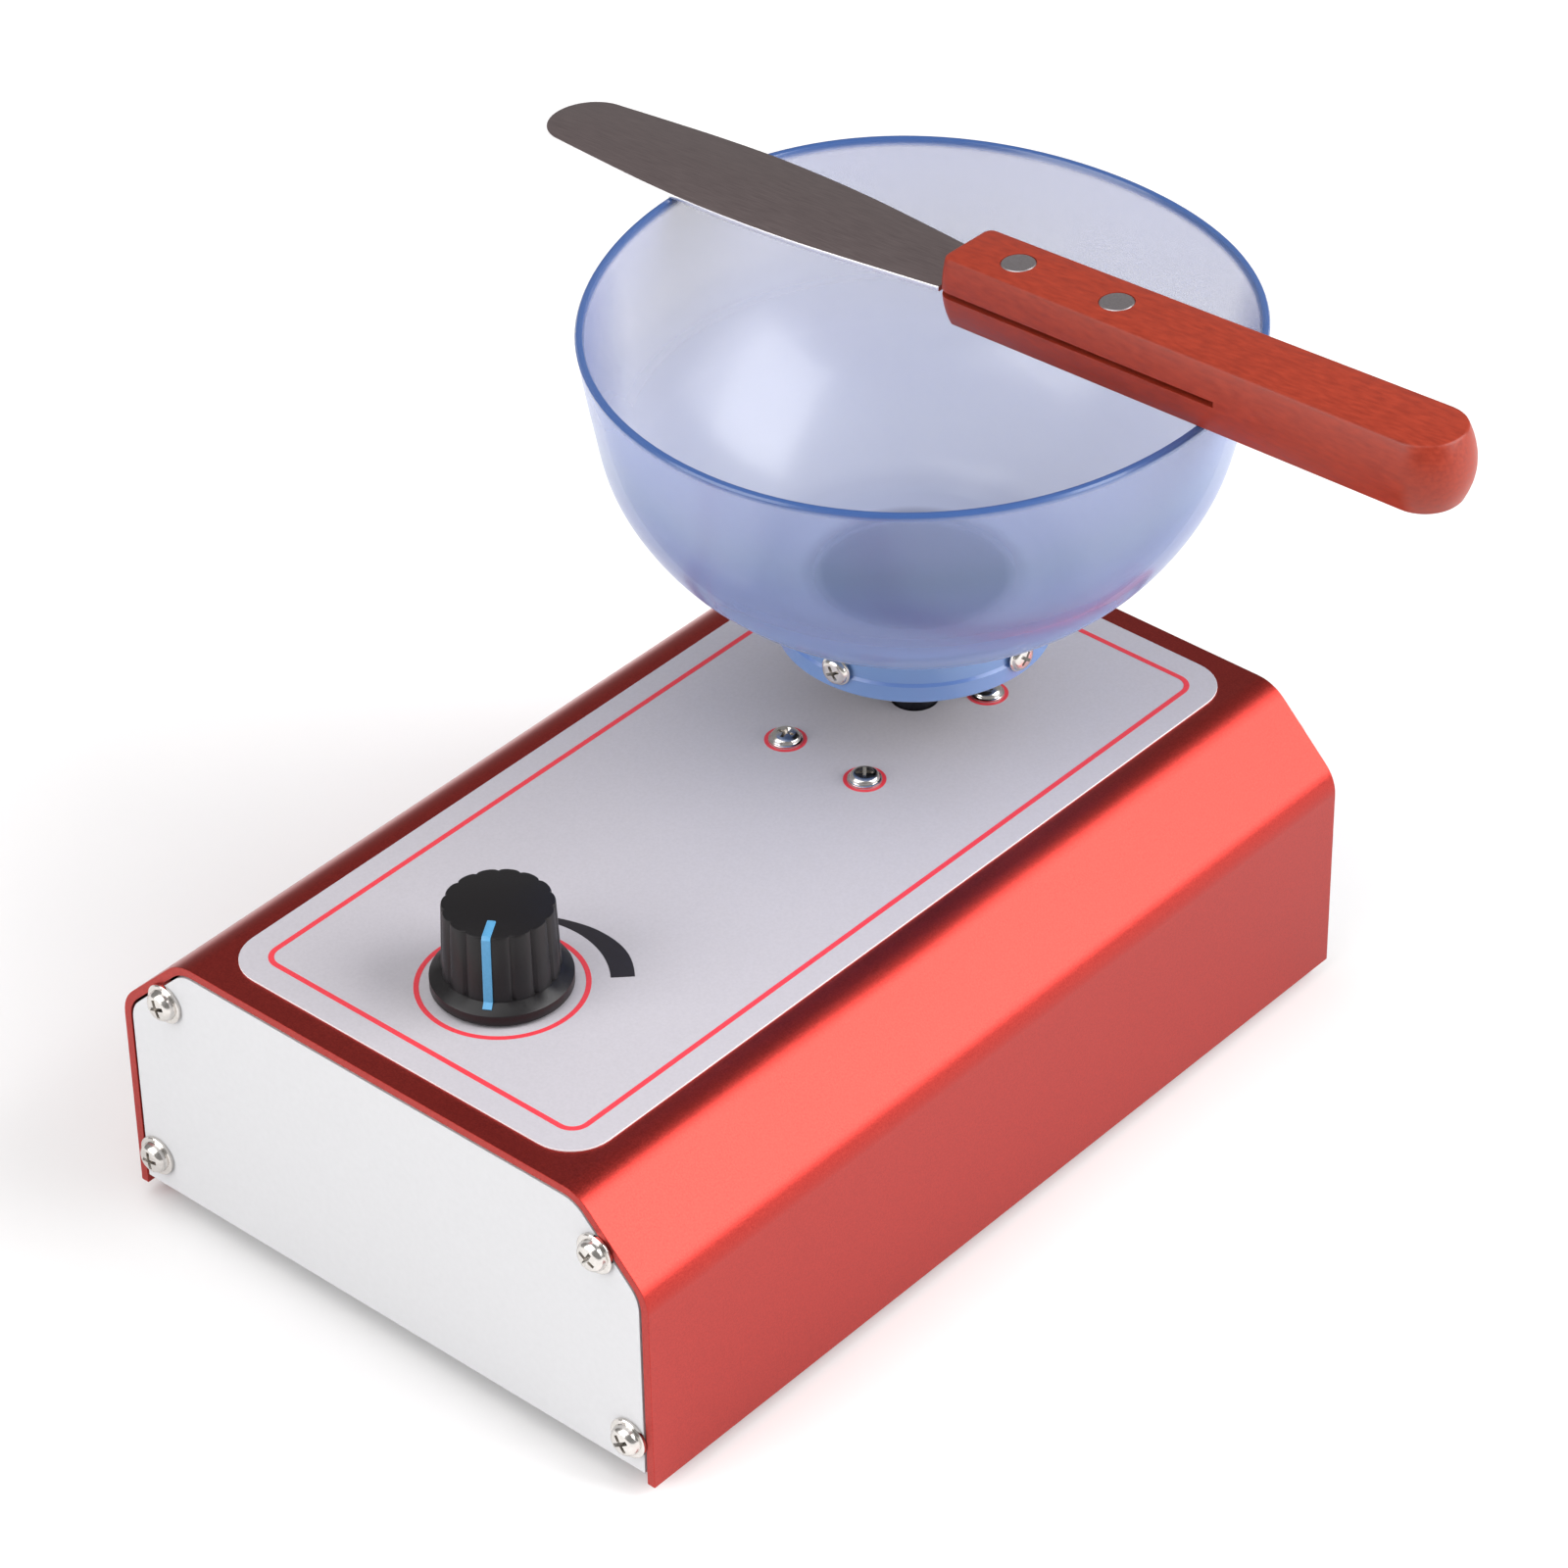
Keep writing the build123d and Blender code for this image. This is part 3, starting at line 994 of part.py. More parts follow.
def spatula_frame():
    """Plane of the blade: X runs from the tip to the butt, Z is its upper side."""
    yaw = math.radians(SPATULA_YAW)
    near, far = rim_crossings(yaw)
    pitch = math.atan((HANDLE_DOWN - BLADE_THICKNESS / 2) / (far - near))
    tip_z = BOWL_RIM_Z + SPATULA_GAP + BLADE_THICKNESS / 2 - near * math.tan(pitch)
    forwards = (math.cos(pitch) * math.cos(yaw), math.cos(pitch) * math.sin(yaw), math.sin(pitch))
    upwards = (-math.sin(pitch) * math.cos(yaw), -math.sin(pitch) * math.sin(yaw), math.cos(pitch))
    return Plane(origin=(SPATULA_TIP[0], SPATULA_TIP[1], tip_z), x_dir=forwards, z_dir=upwards)


def make_blade():
    """Leaf-shaped blade with a round tip and a tang."""
    radius = BLADE_TIP_RADIUS
    shoulder = (BLADE_EXPOSED, BLADE_SHOULDER)
    tip = ThreePointArc((radius, -radius), (0, 0), (radius, radius))
    upper = Spline((radius, radius), BLADE_WIDEST, BLADE_NARROWING, shoulder)
    lower = mirror(upper, Plane.XZ)
    half_tang = TANG_WIDTH / 2
    tang_end = BLADE_EXPOSED + TANG_LENGTH
    tang = Polyline(shoulder, (BLADE_EXPOSED, half_tang), (tang_end, half_tang), (tang_end, -half_tang),
                    (BLADE_EXPOSED, -half_tang), (shoulder[0], -shoulder[1]))
    face = make_face([tip, upper, tang, lower])
    return extrude(face, amount=BLADE_THICKNESS / 2, both=True)


def handle_outline(inset, height):
    """The handle's outline seen from above, moved inwards by inset, at a height over the blade."""
    front = BLADE_EXPOSED + min(inset, HANDLE_FRONT_BULGE)
    front_half = HANDLE_FRONT_WIDTH / 2 - inset
    butt_half = HANDLE_BUTT_WIDTH / 2 - inset
    butt_x = SPATULA_LENGTH - HANDLE_BUTT_WIDTH / 2
    butt = ThreePointArc((butt_x, -butt_half), (butt_x + butt_half, 0), (butt_x, butt_half))
    sides = Polyline((butt_x, butt_half), (front, front_half), (front, -front_half), (butt_x, -butt_half))
    outline = make_face([butt, sides])
    corners = outline.vertices().group_by(Axis.X)[0]
    return Pos(0, 0, height) * fillet(corners, HANDLE_CORNER)


def make_handle():
    """Wooden handle, bulging all round, with a saw cut for the tang."""
    lower = handle_outline(HANDLE_UNDER_BULGE, -HANDLE_DOWN)
    middle = handle_outline(0, 0)
    upper = handle_outline(HANDLE_BULGE, HANDLE_UP)
    solid = loft([lower, middle, upper])
    half_kerf = KERF_WIDTH / 2
    return solid - block(BLADE_EXPOSED - 1, BLADE_EXPOSED + KERF_LENGTH, -10, 10, -half_kerf, half_kerf)


def write_spatula():
    """Blade, handle and rivets, lying on the rim."""
    frame = spatula_frame()
    blade = make_blade()
    handle = make_handle()
    rivets = []
    for along in RIVET_FROM_HANDLE:
        x = BLADE_EXPOSED + along
        rivet = upright(RIVET_RADIUS, x, 0, -HANDLE_DOWN, HANDLE_UP)
        blade -= rivet
        handle -= upright(RIVET_RADIUS, x, 0, -HANDLE_DOWN - 1, HANDLE_UP + 1)
        rivets.append(frame * rivet)
    save("spatula_blade", frame * blade)
    save("spatula_handle", frame * handle)
    save("spatula_rivets", *rivets)


write_enclosure()
write_gearbox()
write_motor()
write_bowl()
write_speed_control()
write_transformer()
write_board()
write_inlet()
write_switch()
write_leads()
write_spatula()
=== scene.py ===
"""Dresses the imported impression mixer: modelled pieces, a finish for every node, and a studio."""

import json
import logging
import math
from dataclasses import dataclass, field
from enum import Enum
from typing import Callable, Iterable, Sequence

import bmesh
import bpy
from mathutils import Matrix, Vector

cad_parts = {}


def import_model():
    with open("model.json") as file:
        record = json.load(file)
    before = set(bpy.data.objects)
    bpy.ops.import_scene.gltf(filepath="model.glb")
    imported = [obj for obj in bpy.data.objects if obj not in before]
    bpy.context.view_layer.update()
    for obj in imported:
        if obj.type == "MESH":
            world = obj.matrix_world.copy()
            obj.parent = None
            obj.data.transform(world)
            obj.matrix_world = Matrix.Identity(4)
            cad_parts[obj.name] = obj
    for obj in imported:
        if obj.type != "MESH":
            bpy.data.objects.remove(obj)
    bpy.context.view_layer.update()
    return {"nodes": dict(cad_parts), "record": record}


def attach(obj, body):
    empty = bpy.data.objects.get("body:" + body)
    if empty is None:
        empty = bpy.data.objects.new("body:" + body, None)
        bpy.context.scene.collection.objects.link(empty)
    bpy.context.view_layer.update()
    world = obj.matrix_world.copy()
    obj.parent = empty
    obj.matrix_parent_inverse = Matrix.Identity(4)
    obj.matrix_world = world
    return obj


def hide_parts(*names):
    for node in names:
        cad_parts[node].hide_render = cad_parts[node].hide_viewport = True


MM = 0.001  # metres in a millimetre
LOG = logging.getLogger("mixer")
Test = Callable[[Vector, Vector], bool]


class Body(Enum):
    """Bodies of the frame that pieces ride on."""

    ROOT = "root"
    BOWL = "bowl"
    KNOB = "knob"
    ROCKER = "rocker"
    SPATULA = "spatula"


class Primitive(Enum):
    """Shapes that a workpiece starts from."""

    PLANE = "plane"
    CUBE = "cube"
    CIRCLE = "circle"
    CYLINDER = "cylinder"


class Part(Enum):
    """Elements of a mesh that can be picked."""

    VERTEX = "VERT"
    EDGE = "EDGE"
    FACE = "FACE"


# ---------------------------------------------------------------- workbench
def deselect_all() -> None:
    """Leave nothing selected, so that an operator acts on one piece only."""
    bpy.ops.object.select_all(action="DESELECT")


def everywhere(place: Vector, direction: Vector) -> bool:
    """Pass every element."""
    return True


class Workpiece:
    """One mesh on the bench, shaped with edit operators. Its sizes are given in millimetres."""

    def __init__(self, obj: bpy.types.Object, name: str) -> None:
        """Take an object on the bench.

        Args:
            obj: the mesh object.
            name: the piece's name.
        """
        self.obj = obj
        obj.name = name
        obj.data.name = name

    @classmethod
    def begin(cls, name: str, primitive: Primitive, at: Sequence[float] = (0, 0, 0), turn: float = 0.0,
              box: Sequence[float] = (1, 1, 1), **sizes: float) -> "Workpiece":
        """Add a primitive at its size and place and open it for editing.

        Args:
            name: the piece's name.
            primitive: the shape to start from.
            at: its middle.
            turn: its turn about Z in degrees.
            box: factors of its size along X, Y and Z.
            **sizes: the primitive's own sizes; radius, depth and size are lengths.

        Returns:
            The piece, in edit mode with all of it selected.
        """
        deselect_all()
        lengths = {key: value * MM for key, value in sizes.items() if key in ("radius", "depth", "size")}
        add = getattr(bpy.ops.mesh, f"primitive_{primitive.value}_add")
        add(location=Vector(at) * MM, rotation=(0, 0, math.radians(turn)), **(sizes | lengths))
        piece = cls(bpy.context.active_object, name)
        piece.obj.scale = box
        bpy.ops.object.transform_apply(location=True, rotation=True, scale=True)
        bpy.ops.object.mode_set(mode="EDIT")
        bpy.ops.mesh.select_all(action="SELECT")
        return piece

    @classmethod
    def traced(cls, name: str, points: Sequence[Sequence[float]]) -> "Workpiece":
        """Draw a run of edges from a single vertex through the points.

        Args:
            name: the piece's name.
            points: the corners of the run.

        Returns:
            The piece, in edit mode.
        """
        piece = cls.begin(name, Primitive.PLANE, at=points[0], size=1)
        bpy.ops.mesh.select_mode(type="VERT")
        bpy.ops.mesh.merge(type="CENTER")
        for start, end in zip(points, points[1:]):
            step = (Vector(end) - Vector(start)) * MM
            bpy.ops.mesh.extrude_vertices_move(TRANSFORM_OT_translate={"value": step})
        bpy.ops.mesh.select_all(action="SELECT")
        return piece

    @classmethod
    def lathed(cls, name: str, outline: Sequence[tuple[float, float]], steps: int,
               centre: Sequence[float] = (0, 0, 0)) -> "Workpiece":
        """Spin a half section, given as radii and heights, about a vertical axis.

        Args:
            name: the piece's name.
            outline: radius and height of each corner, from one end of the axis to the other.
            steps: sides of the turned piece.
            centre: a point of the axis.

        Returns:
            The piece, in edit mode with its normals outwards.
        """
        x, y, z = centre
        piece = cls.traced(name, [(x + radius, y, z + height) for radius, height in outline])
        bpy.ops.mesh.spin(steps=steps, angle=math.tau, center=Vector(centre) * MM, axis=(0, 0, 1))
        piece.tidy()
        return piece

    def pick(self, part: Part, test: Test = everywhere) -> int:
        """Select the elements that pass a test, and nothing else.

        Args:
            part: the kind of element.
            test: takes an element's middle, in millimetres, and a face's or vertex's normal or an edge's
                direction.

        Returns:
            How many were selected.

        Raises:
            ValueError: if nothing passes.
        """
        bpy.ops.mesh.select_mode(type=part.value)
        bpy.ops.mesh.select_all(action="DESELECT")
        mesh = bmesh.from_edit_mesh(self.obj.data)
        found = 0
        for element in {"VERT": mesh.verts, "EDGE": mesh.edges, "FACE": mesh.faces}[part.value]:
            if part is Part.EDGE:
                ends = [vertex.co for vertex in element.verts]
                middle, direction = (ends[0] + ends[1]) / 2, (ends[1] - ends[0]).normalized()
            else:
                middle = element.co if part is Part.VERTEX else element.calc_center_median()
                direction = element.normal
            if test(middle / MM, direction):
                element.select_set(True)
                found += 1
        mesh.select_flush_mode()
        bmesh.update_edit_mesh(self.obj.data)
        if not found:
            raise ValueError(f"{self.obj.name}: no element passes the test")
        return found

    def extrude(self, step: Sequence[float]) -> None:
        """Extrude what is selected by a step."""
        bpy.ops.mesh.extrude_region_move(TRANSFORM_OT_translate={"value": Vector(step) * MM})

    def inset(self, thickness: float, depth: float = 0.0) -> None:
        """Inset the selected faces and raise them by depth."""
        bpy.ops.mesh.inset(thickness=thickness * MM, depth=depth * MM)

    def bevel(self, width: float, segments: int = 1, corners: bool = False) -> None:
        """Bevel the selected edges, or the selected corners of a flat face."""
        kind = "VERTICES" if corners else "EDGES"
        bpy.ops.mesh.bevel(offset=width * MM, segments=segments, affect=kind, clamp_overlap=True)

    def resize(self, factors: Sequence[float], about: Sequence[float]) -> None:
        """Scale what is selected about a point."""
        bpy.ops.transform.resize(value=factors, center_override=Vector(about) * MM)

    def fill(self) -> None:
        """Close the drawn run to one flat face."""
        self.merge()
        bpy.ops.mesh.select_all(action="SELECT")
        bpy.ops.mesh.edge_face_add()

    def merge(self) -> None:
        """Merge vertices that lie on each other."""
        bpy.ops.mesh.select_mode(type="VERT")
        bpy.ops.mesh.select_all(action="SELECT")
        bpy.ops.mesh.remove_doubles(threshold=2e-6)

    def tidy(self) -> None:
        """Merge doubles and turn the faces outwards."""
        self.merge()
        bpy.ops.mesh.select_all(action="SELECT")
        bpy.ops.mesh.normals_make_consistent(inside=False)

    def leave(self, smooth: float = 30.0) -> None:
        """Leave edit mode and shade smoothly over edges flatter than an angle in degrees."""
        bpy.ops.object.mode_set(mode="OBJECT")
        self.activate()
        bpy.ops.object.shade_smooth_by_angle(angle=math.radians(smooth))

    def activate(self) -> None:
        """Make this the only selected object."""
        deselect_all()
        self.obj.select_set(True)
        bpy.context.view_layer.objects.active = self.obj

    def modify(self, kind: str, **settings: object) -> None:
        """Add a modifier with its settings and apply it."""
        modifier = self.obj.modifiers.new(kind.title(), kind)
        for key, value in settings.items():
            setattr(modifier, key, value)
        self.activate()
        bpy.ops.object.modifier_apply(modifier=modifier.name)

    def cut(self, tool: "Workpiece") -> None:
        """Take another piece's volume away and drop that piece."""
        self.modify("BOOLEAN", object=tool.obj, operation="DIFFERENCE", solver="EXACT")
        bpy.data.objects.remove(tool.obj)

    def settle(self, matrix: Matrix) -> None:
        """Move the piece by a matrix in metres, and keep the place in its mesh."""
        self.obj.matrix_world = matrix
        self.activate()
        bpy.ops.object.transform_apply(location=True, rotation=True, scale=True)

    def copy(self, name: str) -> "Workpiece":
        """Copy the piece with a mesh of its own."""
        twin = self.obj.copy()
        twin.data = self.obj.data.copy()
        bpy.context.scene.collection.objects.link(twin)
        return Workpiece(twin, name)

    def fit(self, body: Body, finish: "Finish", slot: str, *nodes: str) -> bpy.types.Object:
        """Dress the finished piece and let it ride.

        Args:
            body: the body that it moves with.
            finish: its finish.
            slot: the record's material slot; not used.
            *nodes: the CAD nodes that it stands for.

        Returns:
            The object.
        """
        self.obj.data.materials.clear()
        self.obj.data.materials.append(finish.paint())
        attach(self.obj, body.value)
        if nodes:
            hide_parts(*nodes)
        LOG.info("%s: %d faces", self.obj.name, len(self.obj.data.polygons))
        return self.obj


def carried(node: str, name: str, edge: float, sharp: float = 30.0, segments: int = 2) -> Workpiece:
    """Copy a CAD node's mesh, merge it and round its edges.

    Args:
        node: the CAD node.
        name: the new piece's name.
        edge: width of the rounding.
        sharp: angle in degrees from which an edge is rounded.
        segments: segments of the rounding.

    Returns:
        The piece, in object mode.
    """
    source = bpy.data.objects[node]
    deselect_all()
    twin = bpy.data.objects.new(name, source.data.copy())
    bpy.context.scene.collection.objects.link(twin)
    piece = Workpiece(twin, name)
    piece.activate()
    bpy.ops.object.mode_set(mode="EDIT")
    bpy.ops.mesh.customdata_custom_splitnormals_clear()
    piece.merge()
    bpy.ops.mesh.dissolve_limited(angle_limit=math.radians(0.5))
    bpy.ops.object.mode_set(mode="OBJECT")
    piece.modify("BEVEL", width=edge * MM, segments=segments, limit_method="ANGLE",
                 angle_limit=math.radians(sharp), use_clamp_overlap=True)
    bpy.ops.object.shade_smooth_by_angle(angle=math.radians(sharp))
    piece.modify("WEIGHTED_NORMAL", keep_sharp=True)
    return piece


def smooth_run(knots: Sequence[tuple[float, float]], steps: int) -> list[tuple[float, float]]:
    """Points of a smooth curve through knots.

    Args:
        knots: the points that it goes through.
        steps: points from one knot to the next.

    Returns:
        The curve's points, with both ends.
    """
    ends = [Vector(knots[0]) * 2 - Vector(knots[1]), Vector(knots[-1]) * 2 - Vector(knots[-2])]
    run = [ends[0], *map(Vector, knots), ends[1]]
    points = [tuple(knots[0])]
    for before, start, end, after in zip(run, run[1:], run[2:], run[3:]):
        for step in range(1, steps + 1):
            t = step / steps
            place = (start * 2 + (end - before) * t + (before * 2 - start * 5 + end * 4 - after) * t**2
                     + (start * 3 - before - end * 3 + after) * t**3) / 2
            points.append(tuple(place))
    return points


def arc(centre: tuple[float, float], radius: float, start: float, end: float,
        steps: int) -> list[tuple[float, float]]:
    """Points of an arc, with both ends. Its angles are in degrees."""
    turns = [math.radians(start + (end - start) * step / steps) for step in range(steps + 1)]
    return [(centre[0] + radius * math.cos(turn), centre[1] + radius * math.sin(turn)) for turn in turns]


def facing(point: Sequence[float], direction: Sequence[float], roll: float = 0.0) -> Matrix:
    """Matrix that stands a piece at a point, its Z along a direction.

    Args:
        point: the place in millimetres.
        direction: where the piece's Z goes.
        roll: turn about that direction in degrees.

    Returns:
        The matrix in metres.
    """
    turn = Vector(direction).to_track_quat("Z", "Y").to_matrix().to_4x4()
    return Matrix.Translation(Vector(point) * MM) @ turn @ Matrix.Rotation(math.radians(roll), 4, "Z")


# ---------------------------------------------------------------- finishes
def linear(colour: str) -> tuple[float, float, float, float]:
    """Turn an sRGB hex colour into the linear one that a shader takes."""
    channels = [int(colour[place:place + 2], 16) / 255 for place in (1, 3, 5)]
    red, green, blue = [c / 12.92 if c <= 0.04045 else ((c + 0.055) / 1.055) ** 2.4 for c in channels]
    return red, green, blue, 1.0


def add_node(tree: bpy.types.NodeTree, kind: str, settings: dict | None = None,
             links: dict | None = None) -> bpy.types.Node:
    """Add a node with its settings and links.

    Args:
        tree: the material's node tree.
        kind: the node's type.
        settings: value of each property or input; stops holds a ramp's places and hex colours.
        links: the output that feeds each input.

    Returns:
        The node.
    """
    node = tree.nodes.new(kind)
    for key, value in (settings or {}).items():
        if key == "stops":
            ramp = node.color_ramp.elements
            while len(ramp) < len(value):
                ramp.new(1.0)
            for element, (place, colour) in zip(ramp, value):
                element.position = place
                element.color = linear(colour)
        elif isinstance(key, str) and hasattr(node, key):
            setattr(node, key, value)
        else:
            node.inputs[key].default_value = value
    for key, output in (links or {}).items():
        tree.links.new(output, node.inputs[key])
    return node


@dataclass(frozen=True)
class Finish:
    """A surface: its colour, its shine and the grain that breaks both up."""

    name: str
    colour: str
    shade: str  # colour of the grain's low places
    metallic: float = 0.0
    roughness: float = 0.5
    spread: float = 0.08  # how far roughness varies to each side
    grain: float = 0.6  # millimetres
    relief: float = 0.01  # millimetres
    stretch: tuple[float, float, float] = (1.0, 1.0, 1.0)
    turn: tuple[float, float, float] = (0.0, 0.0, 0.0)  # degrees
    detail: float = 3.0
    sockets: dict = field(default_factory=dict, hash=False)

    def paint(self) -> bpy.types.Material:
        """Return the material, made once."""
        made = bpy.data.materials.get(self.name)
        if made:
            return made
        material = bpy.data.materials.new(self.name)
        material.use_nodes = True
        tree = material.node_tree
        tree.nodes.clear()
        place = add_node(tree, "ShaderNodeTexCoord")
        turned = add_node(tree, "ShaderNodeMapping",
                          {"Rotation": [math.radians(angle) for angle in self.turn], "Scale": self.stretch},
                          {"Vector": place.outputs["Object"]})
        noise = add_node(tree, "ShaderNodeTexNoise", {"Scale": 1 / (self.grain * MM), "Detail": self.detail},
                         {"Vector": turned.outputs["Vector"]})
        height = self.height(tree, turned, noise)
        rough = add_node(tree, "ShaderNodeMapRange",
                         {"From Min": 0.3, "From Max": 0.7, "To Min": self.roughness - self.spread,
                          "To Max": self.roughness + self.spread}, {"Value": noise.outputs["Fac"]})
        bump = add_node(tree, "ShaderNodeBump", {"Strength": 1.0, "Distance": self.relief * MM},
                        {"Height": height})
        shader = add_node(tree, "ShaderNodeBsdfPrincipled", {"Metallic": self.metallic, **self.sockets},
                          {"Base Color": self.tint(tree, place, turned, noise),
                           "Roughness": rough.outputs["Result"], "Normal": bump.outputs["Normal"]})
        self.complete(tree, place, shader)
        add_node(tree, "ShaderNodeOutputMaterial", links={"Surface": shader.outputs["BSDF"]})
        return material

    def height(self, tree: bpy.types.NodeTree, turned: bpy.types.Node,
               noise: bpy.types.Node) -> bpy.types.NodeSocket:
        """Return the output that gives the relief."""
        return noise.outputs["Fac"]

    def tint(self, tree: bpy.types.NodeTree, place: bpy.types.Node, turned: bpy.types.Node,
             noise: bpy.types.Node) -> bpy.types.NodeSocket:
        """Return the output that gives the colour."""
        stops = [(0.3, self.shade), (0.7, self.colour)]
        return add_node(tree, "ShaderNodeValToRGB", {"stops": stops},
                        {"Fac": noise.outputs["Fac"]}).outputs["Color"]

    def complete(self, tree: bpy.types.NodeTree, place: bpy.types.Node, shader: bpy.types.Node) -> None:
        """Add what only some finishes have."""


@dataclass(frozen=True)
class Banded(Finish):
    """A surface made of rows, such as wire turns or sheets."""

    band: float = 0.5  # millimetres from row to row
    axis: str = "Z"
    waver: float = 0.0  # how far the rows wander
    deep: str = "#101010"  # colour between the rows

    def height(self, tree: bpy.types.NodeTree, turned: bpy.types.Node,
               noise: bpy.types.Node) -> bpy.types.NodeSocket:
        """Return the rows as relief."""
        # The wave node repeats every pi / 10 units at scale 1.
        wave = add_node(tree, "ShaderNodeTexWave",
                        {"bands_direction": self.axis, "Scale": math.pi / 10 / (self.band * MM),
                         "Distortion": self.waver, "Detail": 2.0, "Detail Scale": 0.6},
                        {"Vector": turned.outputs["Vector"]})
        return wave.outputs["Fac"]

    def tint(self, tree: bpy.types.NodeTree, place: bpy.types.Node, turned: bpy.types.Node,
             noise: bpy.types.Node) -> bpy.types.NodeSocket:
        """Return the rows in the finish's colours, darker between them."""
        rows = add_node(tree, "ShaderNodeValToRGB", {"stops": [(0.0, self.deep), (0.35, "#ffffff")]},
                        {"Fac": self.height(tree, turned, noise)})
        plain = super().tint(tree, place, turned, noise)
        mix = add_node(tree, "ShaderNodeMix", {"data_type": "RGBA", "blend_type": "MULTIPLY", 0: 1.0},
                       {6: plain, 7: rows.outputs["Color"]})
        return mix.outputs[2]


@dataclass(frozen=True)
class EdgedSheet(Finish):
    """A flat sheet whose cut edge shows another colour than its faces."""

    # colour of the cut edge; on the blade it is a painted highlight
    core: str = "#f4f3f5"

    def tint(self, tree: bpy.types.NodeTree, place: bpy.types.Node, turned: bpy.types.Node,
             noise: bpy.types.Node) -> bpy.types.NodeSocket:
        """Return the finish's colour on both faces and the core's on the edge; on the blade that edge colour is a
        painted highlight.
        """
        upright = add_node(tree, "ShaderNodeSeparateXYZ", links={"Vector": place.outputs["Normal"]})
        level = add_node(tree, "ShaderNodeMath", {"operation": "ABSOLUTE"}, {0: upright.outputs["Z"]})
        on_face = add_node(tree, "ShaderNodeMath", {"operation": "GREATER_THAN", 1: 0.9},
                           {0: level.outputs["Value"]})
        mix = add_node(tree, "ShaderNodeMix", {"data_type": "RGBA", 6: linear(self.core)},
                       {0: on_face.outputs["Value"], 7: super().tint(tree, place, turned, noise)})
        return mix.outputs[2]


